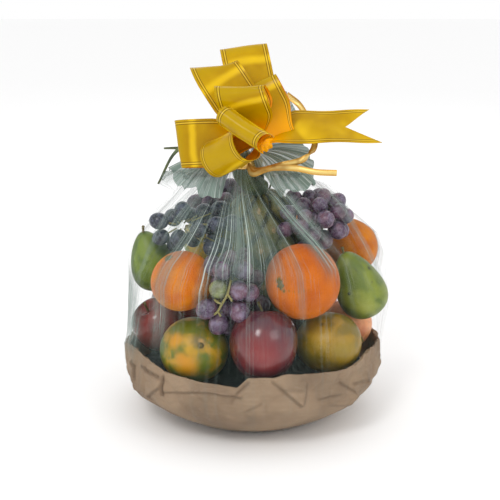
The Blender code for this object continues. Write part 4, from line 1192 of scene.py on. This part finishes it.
def add_tie():
    shape = Shape()
    ring_radius = NECK_RADIUS + 0.0053
    angles = [2.0 * math.pi * i / 60 for i in range(61)]
    for turn, (drop, out) in enumerate(((-0.0016, 0.0), (0.0, 0.0006), (0.0015, 0.0002))):
        middle, radius = NECK_CENTRE + upward(drop), ring_radius + out
        path = [middle + level(a) * radius + upward(0.0008 * math.sin(a + turn)) for a in angles]
        strip(shape, path, lambda t: (0.0, 0.0, 1.0), lambda t: 0.0017, RIBBON_THICKNESS, 4, 0.0004)
    start = NECK_CENTRE + Vector((0.30, -0.95, 0.0)) * ring_radius
    front = smooth_path([start + Vector(point) for point in FRONT_CURL], 60)
    back = smooth_path([start + Vector(point) for point in BACK_CURL], 70)
    half = 0.5 * CURL_WIDTH
    strip(shape, front, lambda t: (0.1, 0.45 - 0.3 * t, 0.9), lambda t: half, RIBBON_THICKNESS, 6, 0.0007)

    def across(t):
        return smooth_step(0.35, 0.6, t), 0.25, 1.0 - smooth_step(0.35, 0.6, t)

    strip(shape, back, across, lambda t: half, RIBBON_THICKNESS, 6, 0.0007)
    gold = Finish("curl_gold", Roughness=0.26, Metallic=0.55)
    side = gold.gap(gold.attribute("across"))
    # Painted highlight: a paler stripe down the middle of the curl ribbon.
    tone = gold.mix((226, 196, 118), (196, 150, 66), gold.ramp(side, 0.15, 0.75))
    # Painted reflection: darker patches at random for the dark things seen in the metal.
    gold.colour(gold.mix(tone, (150, 108, 44), gold.ramp(gold.noise(70.0, 2.0), 0.5, 0.75, 0.0, 0.7)))
    gold.bump(gold.noise(240.0), 0.0002, 0.5)
    return ride(shape.make("gold_curls", [gold, gold], ("gold_tie",), 45))


add_tie()

# Each loop: its tip from the heart, the way across its ribbon, how far it opens
BOW_LOOPS = (
    ((-0.020, 0.040, 0.092), (0.99, 0.03, 0.12), 0.021),
    ((-0.050, 0.014, 0.075), (0.99, 0.03, 0.03), 0.020),
    ((-0.024, -0.030, 0.060), (1.00, 0.00, -0.02), 0.022),
    ((-0.024, -0.062, 0.029), (0.80, -0.34, -0.49), 0.020),
    ((-0.045, -0.038, -0.006), (0.62, -0.50, 0.42), 0.036),
    ((-0.087, 0.001, -0.003), (0.16, -0.28, -0.94), 0.020),
    ((-0.016, 0.054, 0.058), (0.98, 0.10, 0.02), 0.018),
)
SIDE_LOOP_ROOT = Vector((0.019, 0.000, 0.006))
SIDE_LOOP = ((-0.009, 0.008, 0.058), (0.91, -0.02, 0.42), 0.016)
SIDE_LOOP_PINCH = 0.62
LOOP_PINCH = 0.22
HEART_RADIUS = 0.0115
NOTCH_REACH = 0.085
STREAMER_TOP = 0.112
STREAMER_BOTTOM = 0.121
STRING_POINTS = (
    (0.0, 0.002, -0.006), (-0.010, 0.003, -0.016), (-0.019, 0.0045, -0.024), (-0.024, 0.0070, -0.029),
)


def add_loop(shape, tip, across, opening, root=None, pinch=LOOP_PINCH):
    if root is None:
        root = Vector(tip).normalized() * 0.55 * HEART_RADIUS
    way = (Vector(tip) - root).normalized()
    long = (Vector(tip) - root).length
    across = Vector(across).normalized()
    up = way.cross(across).normalized()
    steps = 64

    def reach(t):
        return (1.0 - math.cos(2.0 * math.pi * (0.03 + 0.94 * t))) / 2.0

    def half_width(t):
        return 0.5 * RIBBON_WIDTH * (pinch + (1.0 - pinch) * smooth_step(0.0, 0.55, reach(t)))

    path = []
    for t in (i / steps for i in range(steps + 1)):
        bulge = math.sin(2.0 * math.pi * (0.03 + 0.94 * t)) * (0.35 + 0.65 * reach(t))
        path.append(BOW_HEART + root + way * long * reach(t) + up * 0.68 * opening * bulge)
    # the inner face takes the second finish, the orange copy with painted light
    strip(shape, path, lambda t: across, half_width, RIBBON_THICKNESS, 12, 0.0, (1, 0), 0.0004, reach)


def add_streamer(shape):
    across = Vector((-0.04, 0.80, 0.60)).normalized()
    up = across.cross(Vector((1.0, 0.0, 0.0))).normalized()
    start, steps, columns = 0.002, 40, 16
    value = [2.0 * k / columns - 1.0 for k in range(columns + 1)]
    rows, out = [], []
    for i in range(steps + 1):
        row = []
        for f in value:
            end = NOTCH_REACH + ((STREAMER_TOP if f > 0.0 else STREAMER_BOTTOM) - NOTCH_REACH) * abs(f)
            x = start + (end - start) * i / steps
            half = 0.5 * RIBBON_WIDTH * (0.25 + 0.66 * smooth_step(0.0, 0.035, x))
            middle = BOW_HEART + Vector((x, 0.06 * x, 0.015 * smooth_step(-0.010, 0.036, x)))
            spot = middle + across * f * half
            row.append(spot + up * 0.0011 * math.sin(90.0 * x + 2.0 * f) * smooth_step(0.02, 0.05, x))
        half_up = up * 0.5 * RIBBON_THICKNESS
        rows.append([p - half_up for p in row] + [p + half_up for p in reversed(row)])
        # how far out, which sets how much painted orange light the streamer gets near the heart
        out.append([0.15 + 0.6 * smooth_step(0.0, 0.4, i / steps)] * len(rows[0]))
    first = len(shape.points)
    shape.skin(rows, values={"across": [value + value[::-1]] * len(rows), "reach": out})
    shape.close_ends(first, len(rows), columns, 0)


def ribbon_finish(name, light, dark):
    """Satin ribbon with a pair of fine dark lines along each edge, and painted light and shade along each loop:
    orange towards the heart, a highlight band near the tip and darker olive beyond it.
    """
    made = Finish(name, Roughness=0.24, Specular_IOR_Level=0.14)
    side = made.gap(made.attribute("across"))
    tone = made.mix(dark, light, made.ramp(made.noise(38.0, 2.0), 0.35, 0.68))
    reach = made.attribute("reach")
    # Painted light: orange towards the heart, for light bouncing between the loops and shining through them.
    tone = made.mix(tone, (250, 172, 0), made.ramp(reach, 0.66, 0.08, 0.0, 0.80))
    # Painted shade: darker olive towards the tips of the loops, where they turn away from the light.
    tone = made.mix(tone, (174, 142, 2), made.ramp(reach, 0.86, 1.0, 0.0, 0.70))
    # Painted highlight: a thin bright satin band across each loop near its tip.
    gleam = made.gap(made.plus(reach, made.times(made.noise(24.0), 0.16)), 0.88)
    tone = made.mix(tone, (238, 198, 28), made.ramp(gleam, 0.075, 0.01, 0.0, 0.62))
    for middle in (0.80, 0.89):
        tone = made.mix(tone, (104, 76, 8), made.ramp(made.gap(side, middle), 0.024, 0.010, 0.0, 0.85))
    between = made.ramp(made.gap(side, 0.845), 0.03, 0.015, 0.0, 0.5)
    made.colour(made.mix(tone, (236, 200, 70), between))
    made.bump(made.noise(90.0, 3.0), 0.0012, 0.35)
    return made


def gathered(point):
    """A point of a unit ball, drawn into pleats that run together at the front."""
    pleat = math.sin(9.0 * math.atan2(point.z, point.x) + 3.0 * point.y) * math.hypot(point.x, point.z)
    return point * (0.97 + 0.10 * noise.noise(point * 3.0) + 0.09 * pleat)


def add_bow():
    shape = Shape()
    for row in BOW_LOOPS:
        add_loop(shape, *row)
    add_loop(shape, *SIDE_LOOP, SIDE_LOOP_ROOT, SIDE_LOOP_PINCH)
    add_streamer(shape)
    ball(shape, BOW_HEART, [0.95 * HEART_RADIUS] * 3, None, 72, 44, 1, gathered)
    string = smooth_path([BOW_HEART + Vector(point) for point in STRING_POINTS], 16)
    strip(shape, string, lambda t: (1.0, 0.3, 0.2), lambda t: 0.5 * CURL_WIDTH, 0.0008, 4, 0.0, (0, 0))
    outer = ribbon_finish("bow_outside", (188, 148, 0), (168, 128, 0))
    # The inner faces and the heart are a brighter orange copy of the same ribbon: painted light bouncing inside
    # the loops and shining through them.
    inner = ribbon_finish("bow_inside_painted_light", (244, 160, 0), (224, 132, 0))
    return ride(shape.make("pull_bow", [outer, inner], ("bow",), 40))


add_bow()

# ---------------------------------------------------------------- studio

FLOOR_HALF = 4.0
FLOOR_Z = -0.0002


def add_stage():
    shape = Shape()
    ends = (-FLOOR_HALF, FLOOR_HALF)
    shape.skin([[Vector((x, y, FLOOR_Z)) for x in ends] for y in ends], around=False)
    pale = Finish("pale_floor", Roughness=0.9)
    pale.colour((250, 250, 250))
    floor = shape.make("floor", [pale])


add_stage()
world = bpy.data.worlds.new("studio")
bpy.context.scene.world = world
world.use_nodes = True
world.node_tree.nodes["Background"].inputs["Color"].default_value = (1.0, 1.0, 1.0, 1.0)
world.node_tree.nodes["Background"].inputs["Strength"].default_value = 1.0
add_light("key", (-0.5, -1.1, 1.3), (0.0, 0.0, 0.15), 6.5, 0.45)
add_light("fill", (0.9, -1.0, 0.9), (0.0, 0.0, 0.15), 2.5, 0.6)
add_light("rear", (0.2, 1.2, 1.2), (0.0, 0.0, 0.2), 2.5, 1.0)
bpy.context.scene.view_settings.view_transform = "Standard"
